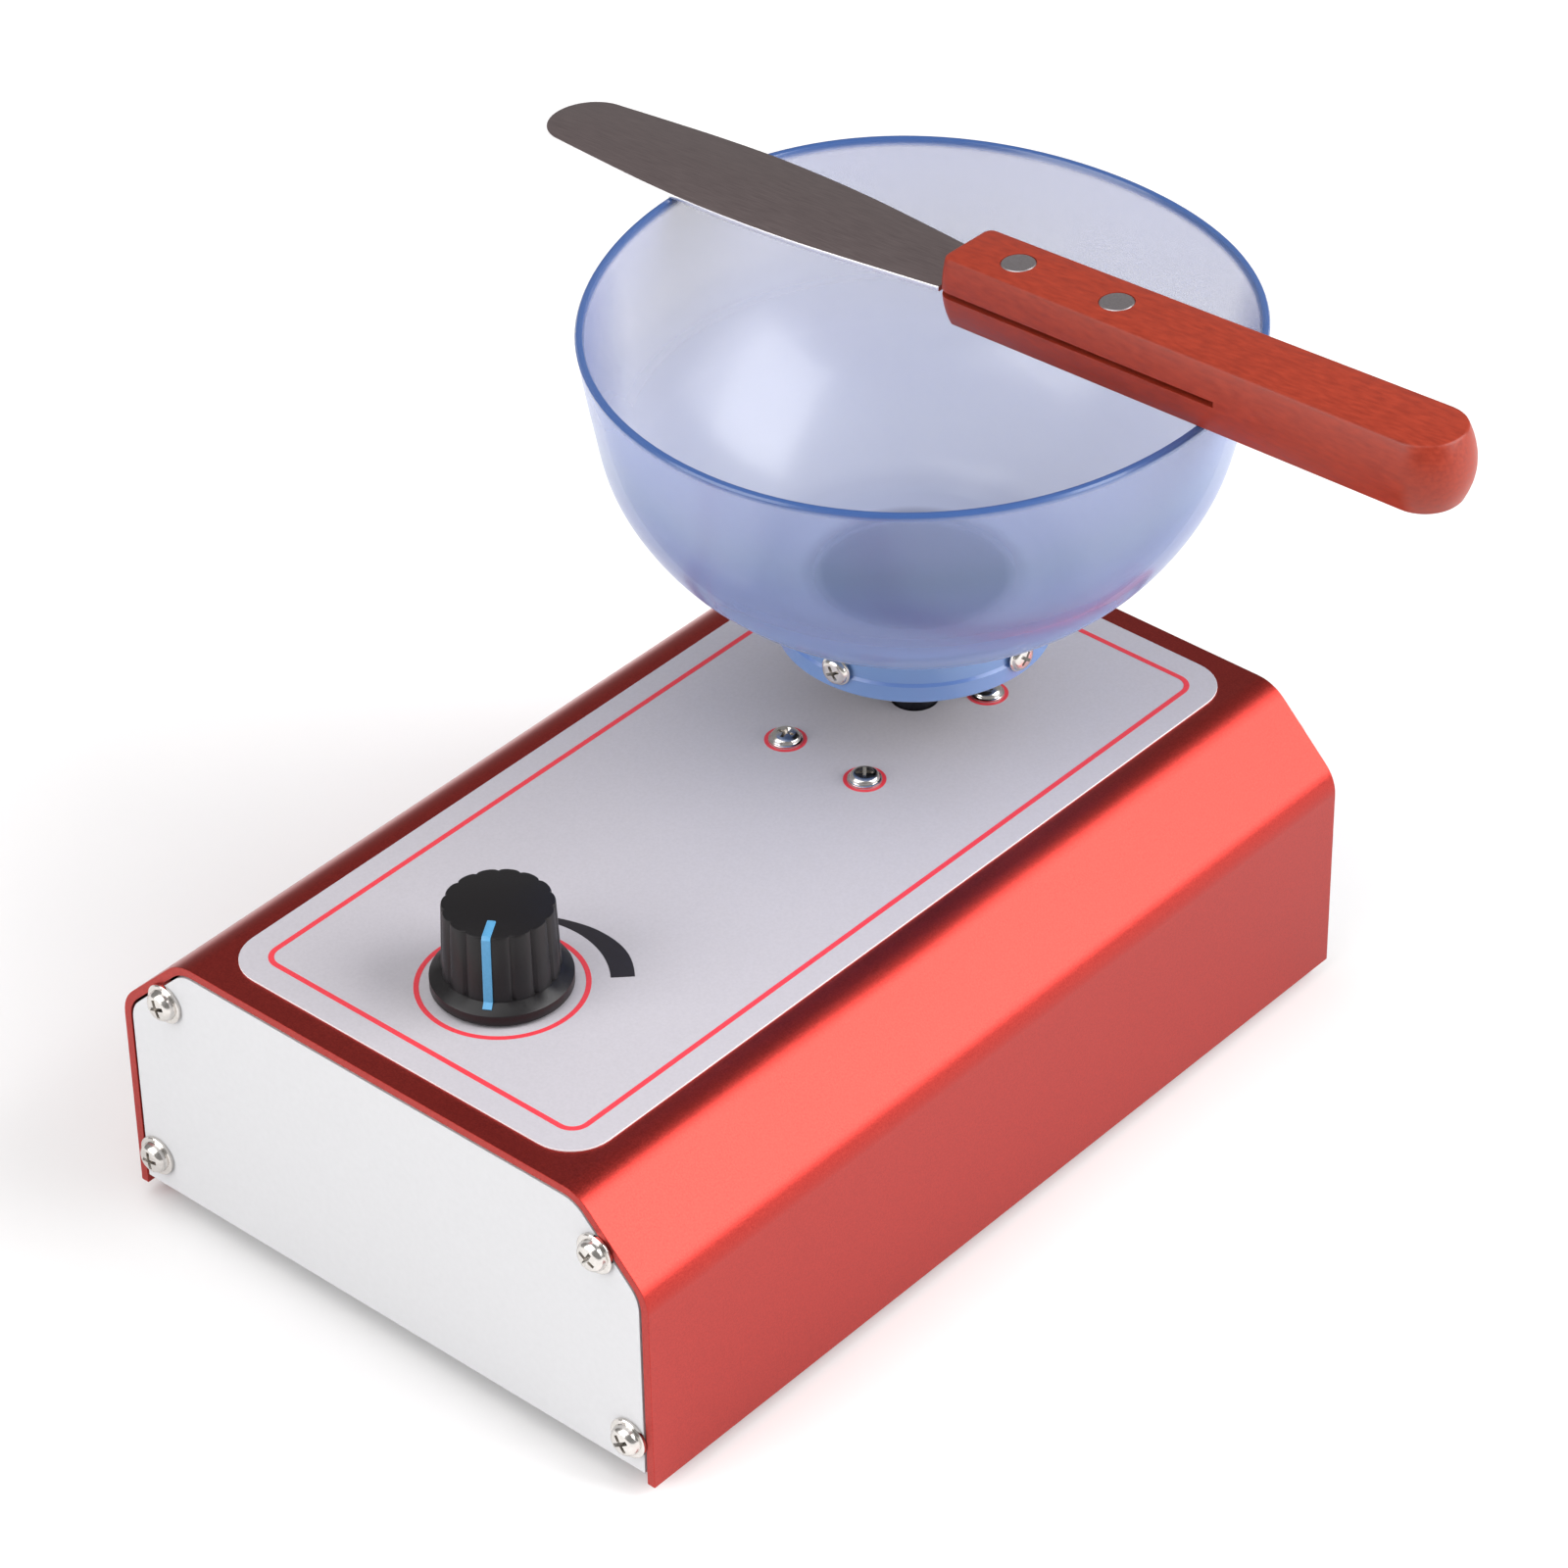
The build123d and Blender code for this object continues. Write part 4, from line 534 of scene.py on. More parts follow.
@dataclass(frozen=True)
class SoftBowl(Finish):
    """Blue translucent flexible plastic: light passes the wall, and the cut rim looks deeper. Its colour by height,
    and the paler colour on upward faces, hold painted light and shade.
    """

    low: float = 70.0  # heights in millimetres between which the colour runs
    high: float = 140.0
    # colours of the outer wall by height; the darker middle band is painted shade
    outside_with_painted_shade: tuple[tuple[float, str], ...] = (
        (77.0, "#6a89bc"), (84.0, "#7b9dcb"), (98.0, "#7c99d5"), (105.0, "#7284b6"), (113.0, "#6e81b4"),
        (120.0, "#768cb6"), (127.0, "#8697c4"), (134.2, "#8f9fcc"), (135.2, "#34558f"))
    # paler colours of the inner wall by height are painted light, and the darkening towards the rim is painted
    # shade
    inside: tuple[tuple[float, str], ...] = (
        (80.0, "#6484c0"), (84.0, "#b6bdd5"), (92.0, "#bac1d9"), (105.0, "#b0b8d6"), (113.0, "#9aa3c6"),
        (120.0, "#848db4"), (134.2, "#7c86b4"), (135.2, "#34558f"))
    cover: tuple[tuple[float, float], ...] = (
        (83.0, 0.98), (86.0, 0.7), (98.0, 0.61), (105.0, 0.55), (113.0, 0.45), (120.0, 0.38),
        (134.2, 0.38), (135.2, 0.95))  # opacity of each side of the wall by height
    grazing: tuple[float, float] = (0.55, 0.97)  # a look along the wall from here on meets more plastic, up to this
    axis: tuple[float, float] = (0.0, 45.8)
    hub: tuple[float, float] = (15.5, 20.0)  # radii between which the dark hub stops showing through the floor
    over_hub: float = 0.1  # opacity there

    def ramp(self, tree: bpy.types.NodeTree, place: bpy.types.Node,
             stops: Sequence[tuple[float, str]]) -> bpy.types.Node:
        """Colours by height."""
        upright = add_node(tree, "ShaderNodeSeparateXYZ", links={"Vector": place.outputs["Object"]})
        along = add_node(tree, "ShaderNodeMapRange",
                         {"From Min": self.low * MM, "From Max": self.high * MM}, {"Value": upright.outputs["Z"]})
        share = [((height - self.low) / (self.high - self.low), colour) for height, colour in stops]
        return add_node(tree, "ShaderNodeValToRGB", {"stops": share}, {"Fac": along.outputs["Result"]})

    def tint(self, tree: bpy.types.NodeTree, place: bpy.types.Node, turned: bpy.types.Node,
             noise: bpy.types.Node) -> bpy.types.NodeSocket:
        """Return the outer colour with its painted shade, and on upward faces the paler inner colour, which is
        painted light.
        """
        tilt = add_node(tree, "ShaderNodeSeparateXYZ", links={"Vector": place.outputs["Normal"]})
        # upward faces, the inside of the bowl, get the paler colour: painted light
        painted_light_mask = add_node(tree, "ShaderNodeMapRange", {"From Min": 0.02, "From Max": 0.08},
                           {"Value": tilt.outputs["Z"]})
        mix = add_node(tree, "ShaderNodeMix", {"data_type": "RGBA"},
                       {0: painted_light_mask.outputs["Result"], 6: self.ramp(tree, place, self.outside_with_painted_shade).outputs["Color"],
                        7: self.ramp(tree, place, self.inside).outputs["Color"]})
        return mix.outputs[2]

    def complete(self, tree: bpy.types.NodeTree, place: bpy.types.Node, shader: bpy.types.Node) -> None:
        """Let light through the wall, most of it in the floor over the hub."""
        stops = [(height, "#" + f"{round(255 * share ** (1 / 2.2)):02x}" * 3) for height, share in self.cover]
        solid = self.ramp(tree, place, stops)
        flat = add_node(tree, "ShaderNodeVectorMath", {"operation": "MULTIPLY", 1: (1.0, 1.0, 0.0)},
                        {0: place.outputs["Object"]})
        reach = add_node(tree, "ShaderNodeVectorMath", {"operation": "DISTANCE", 1: (*(Vector(self.axis) * MM), 0)},
                         {0: flat.outputs["Vector"]})
        beyond = add_node(tree, "ShaderNodeMapRange", {"From Min": self.hub[0] * MM, "From Max": self.hub[1] * MM},
                          {"Value": reach.outputs["Value"]})
        mix = add_node(tree, "ShaderNodeMix", {"data_type": "FLOAT", 2: self.over_hub},
                       {0: beyond.outputs["Result"], 3: solid.outputs["Color"]})
        facing = add_node(tree, "ShaderNodeLayerWeight", {"Blend": 0.5})
        along = add_node(tree, "ShaderNodeMapRange",
                         {"From Min": self.grazing[0], "From Max": 1.0, "To Max": self.grazing[1]},
                         {"Value": facing.outputs["Facing"]})
        deep = add_node(tree, "ShaderNodeMix", {"data_type": "FLOAT", 3: 1.0},
                        {0: along.outputs["Result"], 2: mix.outputs[0]})
        tree.links.new(deep.outputs[0], shader.inputs["Alpha"])


# Aluminium, blasted and dyed: a fine satin that spreads highlights, under a clear oxide skin.
ANODISED = Finish("red_anodised_aluminium", "#b5352c", "#a02620", 1.0, 0.37, 0.05, 0.3, 0.012,
                  sockets={"Coat Weight": 0.3, "Coat Roughness": 0.36})
# Polycarbonate overlay printed from below: grey with a soft satin.
OVERLAY = EdgedSheet("printed_overlay_grey", "#b9b5bb", "#b3afb5", 0.0, 0.42, 0.05, 0.5, 0.002)
# Screen-printing ink: opaque and a little glossier than the sheet.
RED_INK = Finish("screen_ink_red", "#e0404c", "#d83844", 0.0, 0.4, 0.05, 0.4, 0.003)
BLACK_INK = Finish("screen_ink_black", "#231f24", "#1d191e", 0.0, 0.4, 0.05, 0.4, 0.003)
# Powder coat on sheet steel: off-white with a fine orange peel.
WHITE_COAT = Finish("powder_coat_white", "#c9c9cb", "#c6c6c8", 0.0, 0.45, 0.05, 1.2, 0.008)
# Zinc plate on rolled sheet: grey, with faint rolling lines along the sheet.
ZINC = Finish("zinc_plated_sheet", "#b4b6b8", "#9fa2a5", 1.0, 0.38, 0.1, 0.5, 0.004, (8.0, 0.25, 1.0))
# Bright nickel over a pressed head: near mirror, softened by the press.
NICKEL = Finish("bright_nickel", "#dcd8d4", "#d0ccc7", 1.0, 0.2, 0.05, 0.7, 0.004)
RUBBER = Finish("moulded_black_rubber", "#2a2a2b", "#222223", 0.0, 0.75, 0.08, 0.5, 0.03)
# Die-cast zinc alloy: dull, with the flow marks of casting.
CASTING = Finish("die_cast_alloy", "#a3a5a8", "#8c8e92", 0.9, 0.55, 0.1, 2.5, 0.05)
BRONZE = Finish("sintered_bronze", "#a67c3e", "#8a6430", 1.0, 0.45, 0.1, 0.3, 0.02)
STEEL = Finish("turned_steel", "#b0b0b2", "#98989b", 1.0, 0.3, 0.08, 0.3, 0.006, (1.0, 6.0, 6.0))
BLACKENED = Finish("blackened_steel", "#3a3a40", "#2b2b30", 1.0, 0.4, 0.08, 0.4, 0.008)
# Injection-moulded ABS with a fine spark-eroded texture.
BLACK_ABS = Finish("moulded_black_abs", "#151214", "#100e10", 0.0, 0.36, 0.06, 0.35, 0.008,
                   sockets={"Specular IOR Level": 0.35})
POINTER = Finish("moulded_blue_abs", "#5497c2", "#4e90ba", 0.0, 0.4, 0.05, 0.5, 0.005)
BOWL = SoftBowl("soft_blue_bowl_plastic", "#c3cdee", "#8ea5dc", 0.0, 0.26, 0.01, 20.0, 0.001, detail=0.0,
                sockets={"Coat Weight": 0.3, "Coat Roughness": 0.12})
# Ground and brushed spring steel: fine lines across the blade. Its edge faces get a near-white core colour, a
# painted highlight.
BLADE = EdgedSheet("brushed_spring_steel", "#ab9b9b", "#968788", 1.0, 0.34, 0.06, 0.5, 0.002,
                   (0.12, 5.0, 1.0), (0.0, 0.0, 1.3), core="#f6f4f4")
# Nickel silver ground flush with the wood: lighter and more even than the blade.
RIVET = Finish("ground_nickel_silver", "#bdb6b9", "#afa8ab", 1.0, 0.36, 0.05, 0.3, 0.002)
# Stained hardwood under satin lacquer: even red-brown with a fine mottle along the handle.
WOOD = Finish("lacquered_hardwood", "#9b341f", "#862a19", 0.0, 0.4, 0.06, 0.7, 0.004, (0.25, 1.0, 1.0),
              (0.0, 0.0, 1.3), 5.0, {"Specular IOR Level": 0.35})
SOLDER_MASK = Finish("solder_mask_green", "#1f6b3c", "#185a31", 0.0, 0.3, 0.08, 2.0, 0.01)
# Enamelled copper wire, wound in rows.
WIRE = Banded("enamelled_copper_wire", "#c4713c", "#a85a2c", 0.7, 0.32, 0.08, 0.8, 0.12, band=0.5,
              deep="#3a1c10")
# Stacked electrical sheets under varnish: the edges of the sheets show as lines.
SHEETS = Banded("varnished_laminations", "#6d6e72", "#5a5b60", 0.8, 0.48, 0.08, 1.0, 0.04, band=0.6, axis="X",
                deep="#2a2a2c")
FERRITE = Finish("sintered_ferrite", "#3c3c3f", "#303033", 0.2, 0.6, 0.08, 0.4, 0.03)
EXTRUSION = Finish("extruded_aluminium", "#c4c6c9", "#b0b2b6", 1.0, 0.36, 0.08, 0.5, 0.01, (6.0, 6.0, 0.3))
GREEN_PLASTIC = Finish("moulded_green_polyamide", "#2f8f4e", "#287f44", 0.0, 0.45, 0.07, 0.4, 0.01)
INSULATION = Finish("extruded_red_insulation", "#b8342c", "#a62c25", 0.0, 0.42, 0.06, 1.0, 0.01)
TINNED = Finish("tinned_brass", "#cbc3a8", "#b5ac90", 1.0, 0.3, 0.08, 0.5, 0.008)
GLASS = Finish("clear_fuse_glass", "#eef4f5", "#e2ecee", 0.0, 0.08, 0.04, 2.0, 0.002,
               sockets={"Transmission Weight": 0.9, "IOR": 1.5})

BY_SLOT = {
    "red_anodised": ANODISED, "printed_grey": OVERLAY, "white_paint": WHITE_COAT, "plated_sheet": ZINC,
    "nickel_plate": NICKEL, "black_rubber": RUBBER, "cast_alloy": CASTING, "bronze": BRONZE,
    "turned_steel": STEEL, "dark_shaft": BLACKENED, "black_plastic": BLACK_ABS, "pointer_blue": POINTER,
    "bowl_blue": BOWL, "blade_steel": BLADE, "lacquered_wood": WOOD, "circuit_board": SOLDER_MASK,
    "copper_wire": WIRE, "laminations": SHEETS, "ferrite": FERRITE, "bare_aluminium": EXTRUSION,
    "terminal_green": GREEN_PLASTIC, "wire_insulation": INSULATION, "tinned_brass": TINNED,
    "fuse_glass": GLASS,
}


# ---------------------------------------------------------------- screws
@dataclass(frozen=True)
class PanScrew:
    """Cross-recessed pan-head screw that stands on z = 0 with its shank below."""

    head_radius: float
    head_height: float
    shank_radius: float
    shank_length: float
    flange_radius: float = 0.0
    sides: int = 40

    def outline(self) -> list[tuple[float, float]]:
        """Half section from the shank's end to the top of the head."""
        run = [(0, -self.shank_length), (self.shank_radius - 0.3, -self.shank_length),
               (self.shank_radius, 0.4 - self.shank_length), (self.shank_radius, 0.0)]
        wall = self.head_height * 0.42
        if self.flange_radius:
            rim = self.head_height * 0.3
            run += [(self.flange_radius - 0.12, 0.0), (self.flange_radius, 0.12),
                    (self.flange_radius, rim - 0.15), (self.flange_radius - 0.2, rim),
                    (self.head_radius + 0.1, rim + 0.03)]
        else:
            run += [(self.head_radius - 0.1, 0.0), (self.head_radius, 0.1)]
        shoulder = self.head_radius * 0.42
        dome = arc((0, 0), 1.0, 0.0, 90.0, 7)
        run += [(self.head_radius - shoulder + shoulder * c, wall + (self.head_height - wall - 0.12) * s)
                for c, s in dome]
        return run + [(0, self.head_height)]

    def recess(self) -> Workpiece:
        """Tool that cuts the cross: two bars that narrow downwards round a pointed core."""
        reach = self.head_radius * 0.68
        half = self.head_radius * 0.14
        top = self.head_height + 0.2
        depth = self.head_height * 0.78 + 0.2
        tool = Workpiece.begin("cross_tool", Primitive.CUBE, at=(0, 0, top - depth / 2), size=1,
                               box=(2 * half, 2 * half, depth))
        for side in ((1, 0, 0), (-1, 0, 0), (0, 1, 0), (0, -1, 0)):
            tool.pick(Part.FACE, lambda place, normal: normal.dot(Vector(side)) > 0.9
                      and abs(place.x * side[1]) + abs(place.y * side[0]) < half)
            tool.extrude(Vector(side) * (reach - half))
        tool.pick(Part.VERTEX, lambda place, normal: place.z < top - depth / 2)
        tool.resize((0.35, 0.35, 1.0), (0, 0, 0))
        tool.tidy()
        bpy.ops.object.mode_set(mode="OBJECT")
        return tool

    def model(self, name: str) -> Workpiece:
        """Model one screw at the origin."""
        screw = Workpiece.lathed(name, self.outline(), self.sides)
        screw.leave()
        screw.cut(self.recess())
        screw.activate()
        bpy.ops.object.shade_smooth_by_angle(angle=math.radians(32))
        return screw

    def set_out(self, name: str, body: Body, node: str, places: Iterable[Matrix]) -> None:
        """Model one screw, copy it to each place and let the copies stand for a node.

        Args:
            name: the copies' name, which gets a number.
            body: the body that they ride on.
            node: the CAD node.
            places: a matrix for each copy.
        """
        first = self.model(name)
        for index, place in enumerate(places, 1):
            twin = first.copy(f"{name}_{index}")
            twin.settle(place)
            twin.fit(body, NICKEL, "nickel_plate", node)
        bpy.data.objects.remove(first.obj)


# ---------------------------------------------------------------- enclosure
@dataclass(frozen=True)
class Enclosure:
    """Red channel, end panels, feet and the screws that hold them."""

    half_length: float = 89.9
    upper_screw: tuple[float, float] = (48.7, 47.4)
    lower_screw: tuple[float, float] = (54.4, 11.3)
    rolls: tuple[float, ...] = (20.0, 62.0, 8.0, 35.0)  # how far each screw was driven round
    gearbox_screw_x: float = 9.0
    gearbox_screw_rows: tuple[float, float] = (21.8, 54.8)
    face_z: float = 57.8

    def build(self) -> None:
        """Build the shell and its fasteners."""
        self.build_shell()
        self.build_panel_screws()
        self.build_gearbox_screws()

    def build_shell(self) -> None:
        """Round the edges of the channel, the panels and the feet."""
        carried("top_cover", "cover_channel", 0.3).fit(Body.ROOT, ANODISED, "red_anodised", "top_cover")
        for node in ("front_panel", "rear_panel"):
            carried(node, f"{node}_painted", 0.25).fit(Body.ROOT, WHITE_COAT, "white_paint", node)
        carried("rubber_feet", "foot_mouldings", 0.5).fit(Body.ROOT, RUBBER, "black_rubber", "rubber_feet")

    def build_panel_screws(self) -> None:
        """Four washer-head screws in each end panel."""
        corners = [(side * x, z) for x, z in (self.upper_screw, self.lower_screw) for side in (-1, 1)]
        places = [facing((x, end * self.half_length, z), (0, end, 0), roll + 25 * (end + 1))
                  for end in (-1, 1) for (x, z), roll in zip(corners, self.rolls)]
        PanScrew(2.8, 2.5, 1.4, 9.0, 3.7).set_out("panel_screw", Body.ROOT, "panel_screws", places)

    def build_gearbox_screws(self) -> None:
        """Four pan-head screws round the shaft."""
        spots = [(side * self.gearbox_screw_x, row) for row in self.gearbox_screw_rows for side in (-1, 1)]
        places = [facing((*spot, self.face_z), (0, 0, 1), roll) for spot, roll in zip(spots, (15, 40, 5, 70))]
        PanScrew(2.6, 1.6, 1.45, 9.0, 3.0).set_out("gearbox_screw", Body.ROOT, "gearbox_mount_screws", places)


@dataclass(frozen=True)
class FacePlate:
    """Grey overlay on the cover, with its printed lines."""

    width: float = 80.4
    length: float = 170.4
    middle_y: float = 0.2
    corner: float = 8.0
    low_z: float = 57.5
    top_z: float = 57.8
    ink: float = 0.03
    frame_half: float = 35.0
    frame_front: float = -79.7
    frame_rear: float = 80.1
    frame_line: float = 1.0
    frame_corner: float = 3.6
    shaft: tuple[float, float] = (0.0, 45.8)
    control: tuple[float, float] = (0.0, -59.2)
    screws: tuple[tuple[float, float], ...] = ((-9.0, 21.8), (9.0, 21.8), (-9.0, 54.8), (9.0, 54.8))
    wedge_inner: float = 17.8
    wedge_start: float = 45.0
    wedge_end: float = 138.0

    def build(self) -> None:
        """Build the sheet and every print on it."""
        self.build_sheet()
        self.build_frame_line()
        self.build_ring("control_ring", self.control, 13.75, 14.65)
        for index, spot in enumerate(self.screws, 1):
            self.build_ring(f"screw_ring_{index}", spot, 3.05, 3.75)
        self.build_wedge()

    def rounded(self, name: str, half: float, front: float, rear: float, corner: float,
                height: float) -> Workpiece:
        """Flat rectangle with rounded corners."""
        sheet = Workpiece.begin(name, Primitive.PLANE, at=(0, (front + rear) / 2, height), size=1,
                                box=(2 * half, rear - front, 1))
        sheet.pick(Part.VERTEX)
        sheet.bevel(corner, 10, corners=True)
        return sheet

    def build_sheet(self) -> None:
        """Sheet with its holes and a bevelled edge."""
        front = self.middle_y - self.length / 2
        sheet = self.rounded("overlay_sheet", self.width / 2, front, front + self.length, self.corner,
                             self.low_z)
        sheet.pick(Part.FACE)
        sheet.extrude((0, 0, self.top_z - self.low_z))
        sheet.tidy()
        sheet.leave()
        holes = [(*self.shaft, 4.3), (*self.control, 3.6), *[(*spot, 1.7) for spot in self.screws]]
        for x, y, radius in holes:
            drill = Workpiece.begin("drill", Primitive.CYLINDER, at=(x, y, self.top_z), vertices=64,
                                    radius=radius, depth=4.0)
            drill.leave()
            sheet.cut(drill)
        sheet.modify("BEVEL", width=0.14 * MM, segments=1, limit_method="ANGLE",
                     angle_limit=math.radians(60))
        sheet.activate()
        bpy.ops.object.shade_smooth_by_angle(angle=math.radians(20))
        sheet.modify("WEIGHTED_NORMAL", keep_sharp=True)
        sheet.fit(Body.ROOT, OVERLAY, "printed_grey", "faceplate")

    def build_frame_line(self) -> None:
        """Red line round the sheet."""
        half = self.frame_line / 2
        line = self.rounded("frame_line", self.frame_half + half, self.frame_front - half,
                            self.frame_rear + half, self.frame_corner, self.top_z)
        self.open_and_raise(line, self.frame_line, RED_INK)

    def build_ring(self, name: str, spot: tuple[float, float], inner: float, outer: float) -> None:
        """Red ring on the sheet."""
        ring = Workpiece.begin(name, Primitive.CIRCLE, at=(*spot, self.top_z), vertices=72, radius=outer,
                               fill_type="NGON")
        self.open_and_raise(ring, outer - inner, RED_INK)

    def open_and_raise(self, print_: Workpiece, line: float, ink: Finish) -> None:
        """Turn a flat face into a line of ink along its edge."""
        print_.pick(Part.FACE)
        print_.inset(line)
        bpy.ops.mesh.delete(type="FACE")
        self.raise_ink(print_, ink)

    def raise_ink(self, print_: Workpiece, ink: Finish) -> None:
        """Give a flat print the thickness of its ink and finish it."""
        print_.pick(Part.FACE)
        print_.extrude((0, 0, self.ink))
        print_.tidy()
        print_.leave()
        print_.fit(Body.ROOT, ink, "printed_grey")

    def build_wedge(self) -> None:
        """Black wedge that widens as the speed rises."""
        steps = 28
        span = self.wedge_end - self.wedge_start
        outer = smooth_run([(0.0, 21.8), (0.2, 21.8), (0.41, 20.7), (0.58, 19.6), (0.8, 18.6), (1.0, 17.9)], 6)
        points = [(self.wedge_start + span * share, radius) for share, radius in outer]
        points += [(self.wedge_end - span * step / steps, self.wedge_inner) for step in range(steps + 1)]
        points.append(points[0])
        places = [(self.control[0] + r * math.cos(math.radians(a)), self.control[1] + r * math.sin(math.radians(a)),
                   self.top_z) for a, r in points]
        wedge = Workpiece.traced("speed_wedge", places)
        wedge.fill()
        self.raise_ink(wedge, BLACK_INK)


# ---------------------------------------------------------------- bowl
@dataclass(frozen=True)
class MixingBowl:
    """Flexible bowl with its thick collar and the four screws that hold it to the hub."""

    axis: tuple[float, float] = (0.0, 45.8)
    rim_radius: float = 58.42
    rim_z: float = 135.8
    wall: float = 1.5
    outer: tuple[tuple[float, float], ...] = (
        (55.6, 121.9), (52.7, 110.0), (47.1, 100.1), (39.8, 92.3), (31.4, 86.2))
    inner: tuple[tuple[float, float], ...] = (
        (53.9, 121.9), (50.9, 110.6), (45.6, 101.2), (38.6, 93.8), (30.6, 88.0))
    waist: tuple[float, float] = (23.8, 82.3)
    floor: tuple[float, float] = (23.0, 84.6)
    step_z: float = 77.6
    collar_radius: float = 24.2
    low_z: float = 73.8
    bore: float = 18.2
    hub_z: float = 82.95
    screw_z: float = 78.1
    screw_angles: tuple[float, ...] = (-83.0, -2.0, 97.0, 178.0)
    waves: tuple[tuple[int, float, float], ...] = (
        (1, 0.71, 73.3), (2, 0.85, -58.8), (3, 0.85, 36.2), (4, 0.48, -41.0))  # count, height, a crest's angle
    steps: int = 144

    def build(self) -> None:
        """Build the bowl and its screws."""
        self.build_bowl()
        places = [facing((self.axis[0] + self.collar_radius * math.cos(math.radians(angle)),
                          self.axis[1] + self.collar_radius * math.sin(math.radians(angle)), self.screw_z),
                         (math.cos(math.radians(angle)), math.sin(math.radians(angle)), 0), roll)
                  for angle, roll in zip(self.screw_angles, (30, 50, 10, 75))]
        PanScrew(2.4, 1.5, 1.4, 12.5, 2.8).set_out("collar_screw", Body.BOWL, "bowl_screws", places)

    def section(self) -> list[tuple[float, float]]:
        """Half section, from the middle of the underside round the rim to the middle of the floor."""
        lip = self.rim_radius - self.wall
        below = [(0, self.hub_z), (self.bore, self.hub_z), (self.bore, self.low_z),
                 (self.collar_radius - 0.4, self.low_z), (self.collar_radius, self.low_z + 0.4),
                 (self.collar_radius, self.step_z - 0.5), (self.waist[0], self.step_z),
                 (self.waist[0], self.waist[1] - 0.6), (self.waist[0] + 0.5, self.waist[1] + 0.1)]
        outer = smooth_run([(self.rim_radius, self.rim_z - 0.5), *self.outer,
                            (self.waist[0] + 1.6, self.waist[1] + 0.7)], 7)
        inner = smooth_run([(lip, self.rim_z - 0.5), *self.inner, self.floor], 7)
        round_lip = [(self.rim_radius - 0.25, self.rim_z - 0.1), (self.rim_radius - 0.6, self.rim_z),
                     (lip + 0.6, self.rim_z), (lip + 0.25, self.rim_z - 0.1)]
        return below + outer[::-1] + round_lip + inner + [(0, self.floor[1])]

    def build_bowl(self) -> None:
        """Spin the section, then let the soft rim go a little out of round."""
        bowl = Workpiece.lathed("bowl_moulding", self.section(), self.steps, (*self.axis, 0))
        mesh = bmesh.from_edit_mesh(bowl.obj.data)
        middle = Vector((*self.axis, 0)) * MM
        for vertex in mesh.verts:
            rise = (vertex.co.z / MM - self.waist[1]) / (self.rim_z - self.waist[1])
            if rise > 0:
                arm = vertex.co - middle
                angle = math.degrees(math.atan2(arm.y, arm.x))
                factor = 1 + self.wave(angle) * rise**2 / self.rim_radius
                vertex.co.x = middle.x + arm.x * factor
                vertex.co.y = middle.y + arm.y * factor
        bmesh.update_edit_mesh(bowl.obj.data)
        bowl.leave(30)
        bowl.fit(Body.BOWL, BOWL, "bowl_blue", "mixing_bowl")

    def wave(self, angle: float) -> float:
        """Millimetres by which the rim is out of round at an angle in degrees."""
        return sum(height * math.cos(count * math.radians(angle - crest)) for count, height, crest in self.waves)


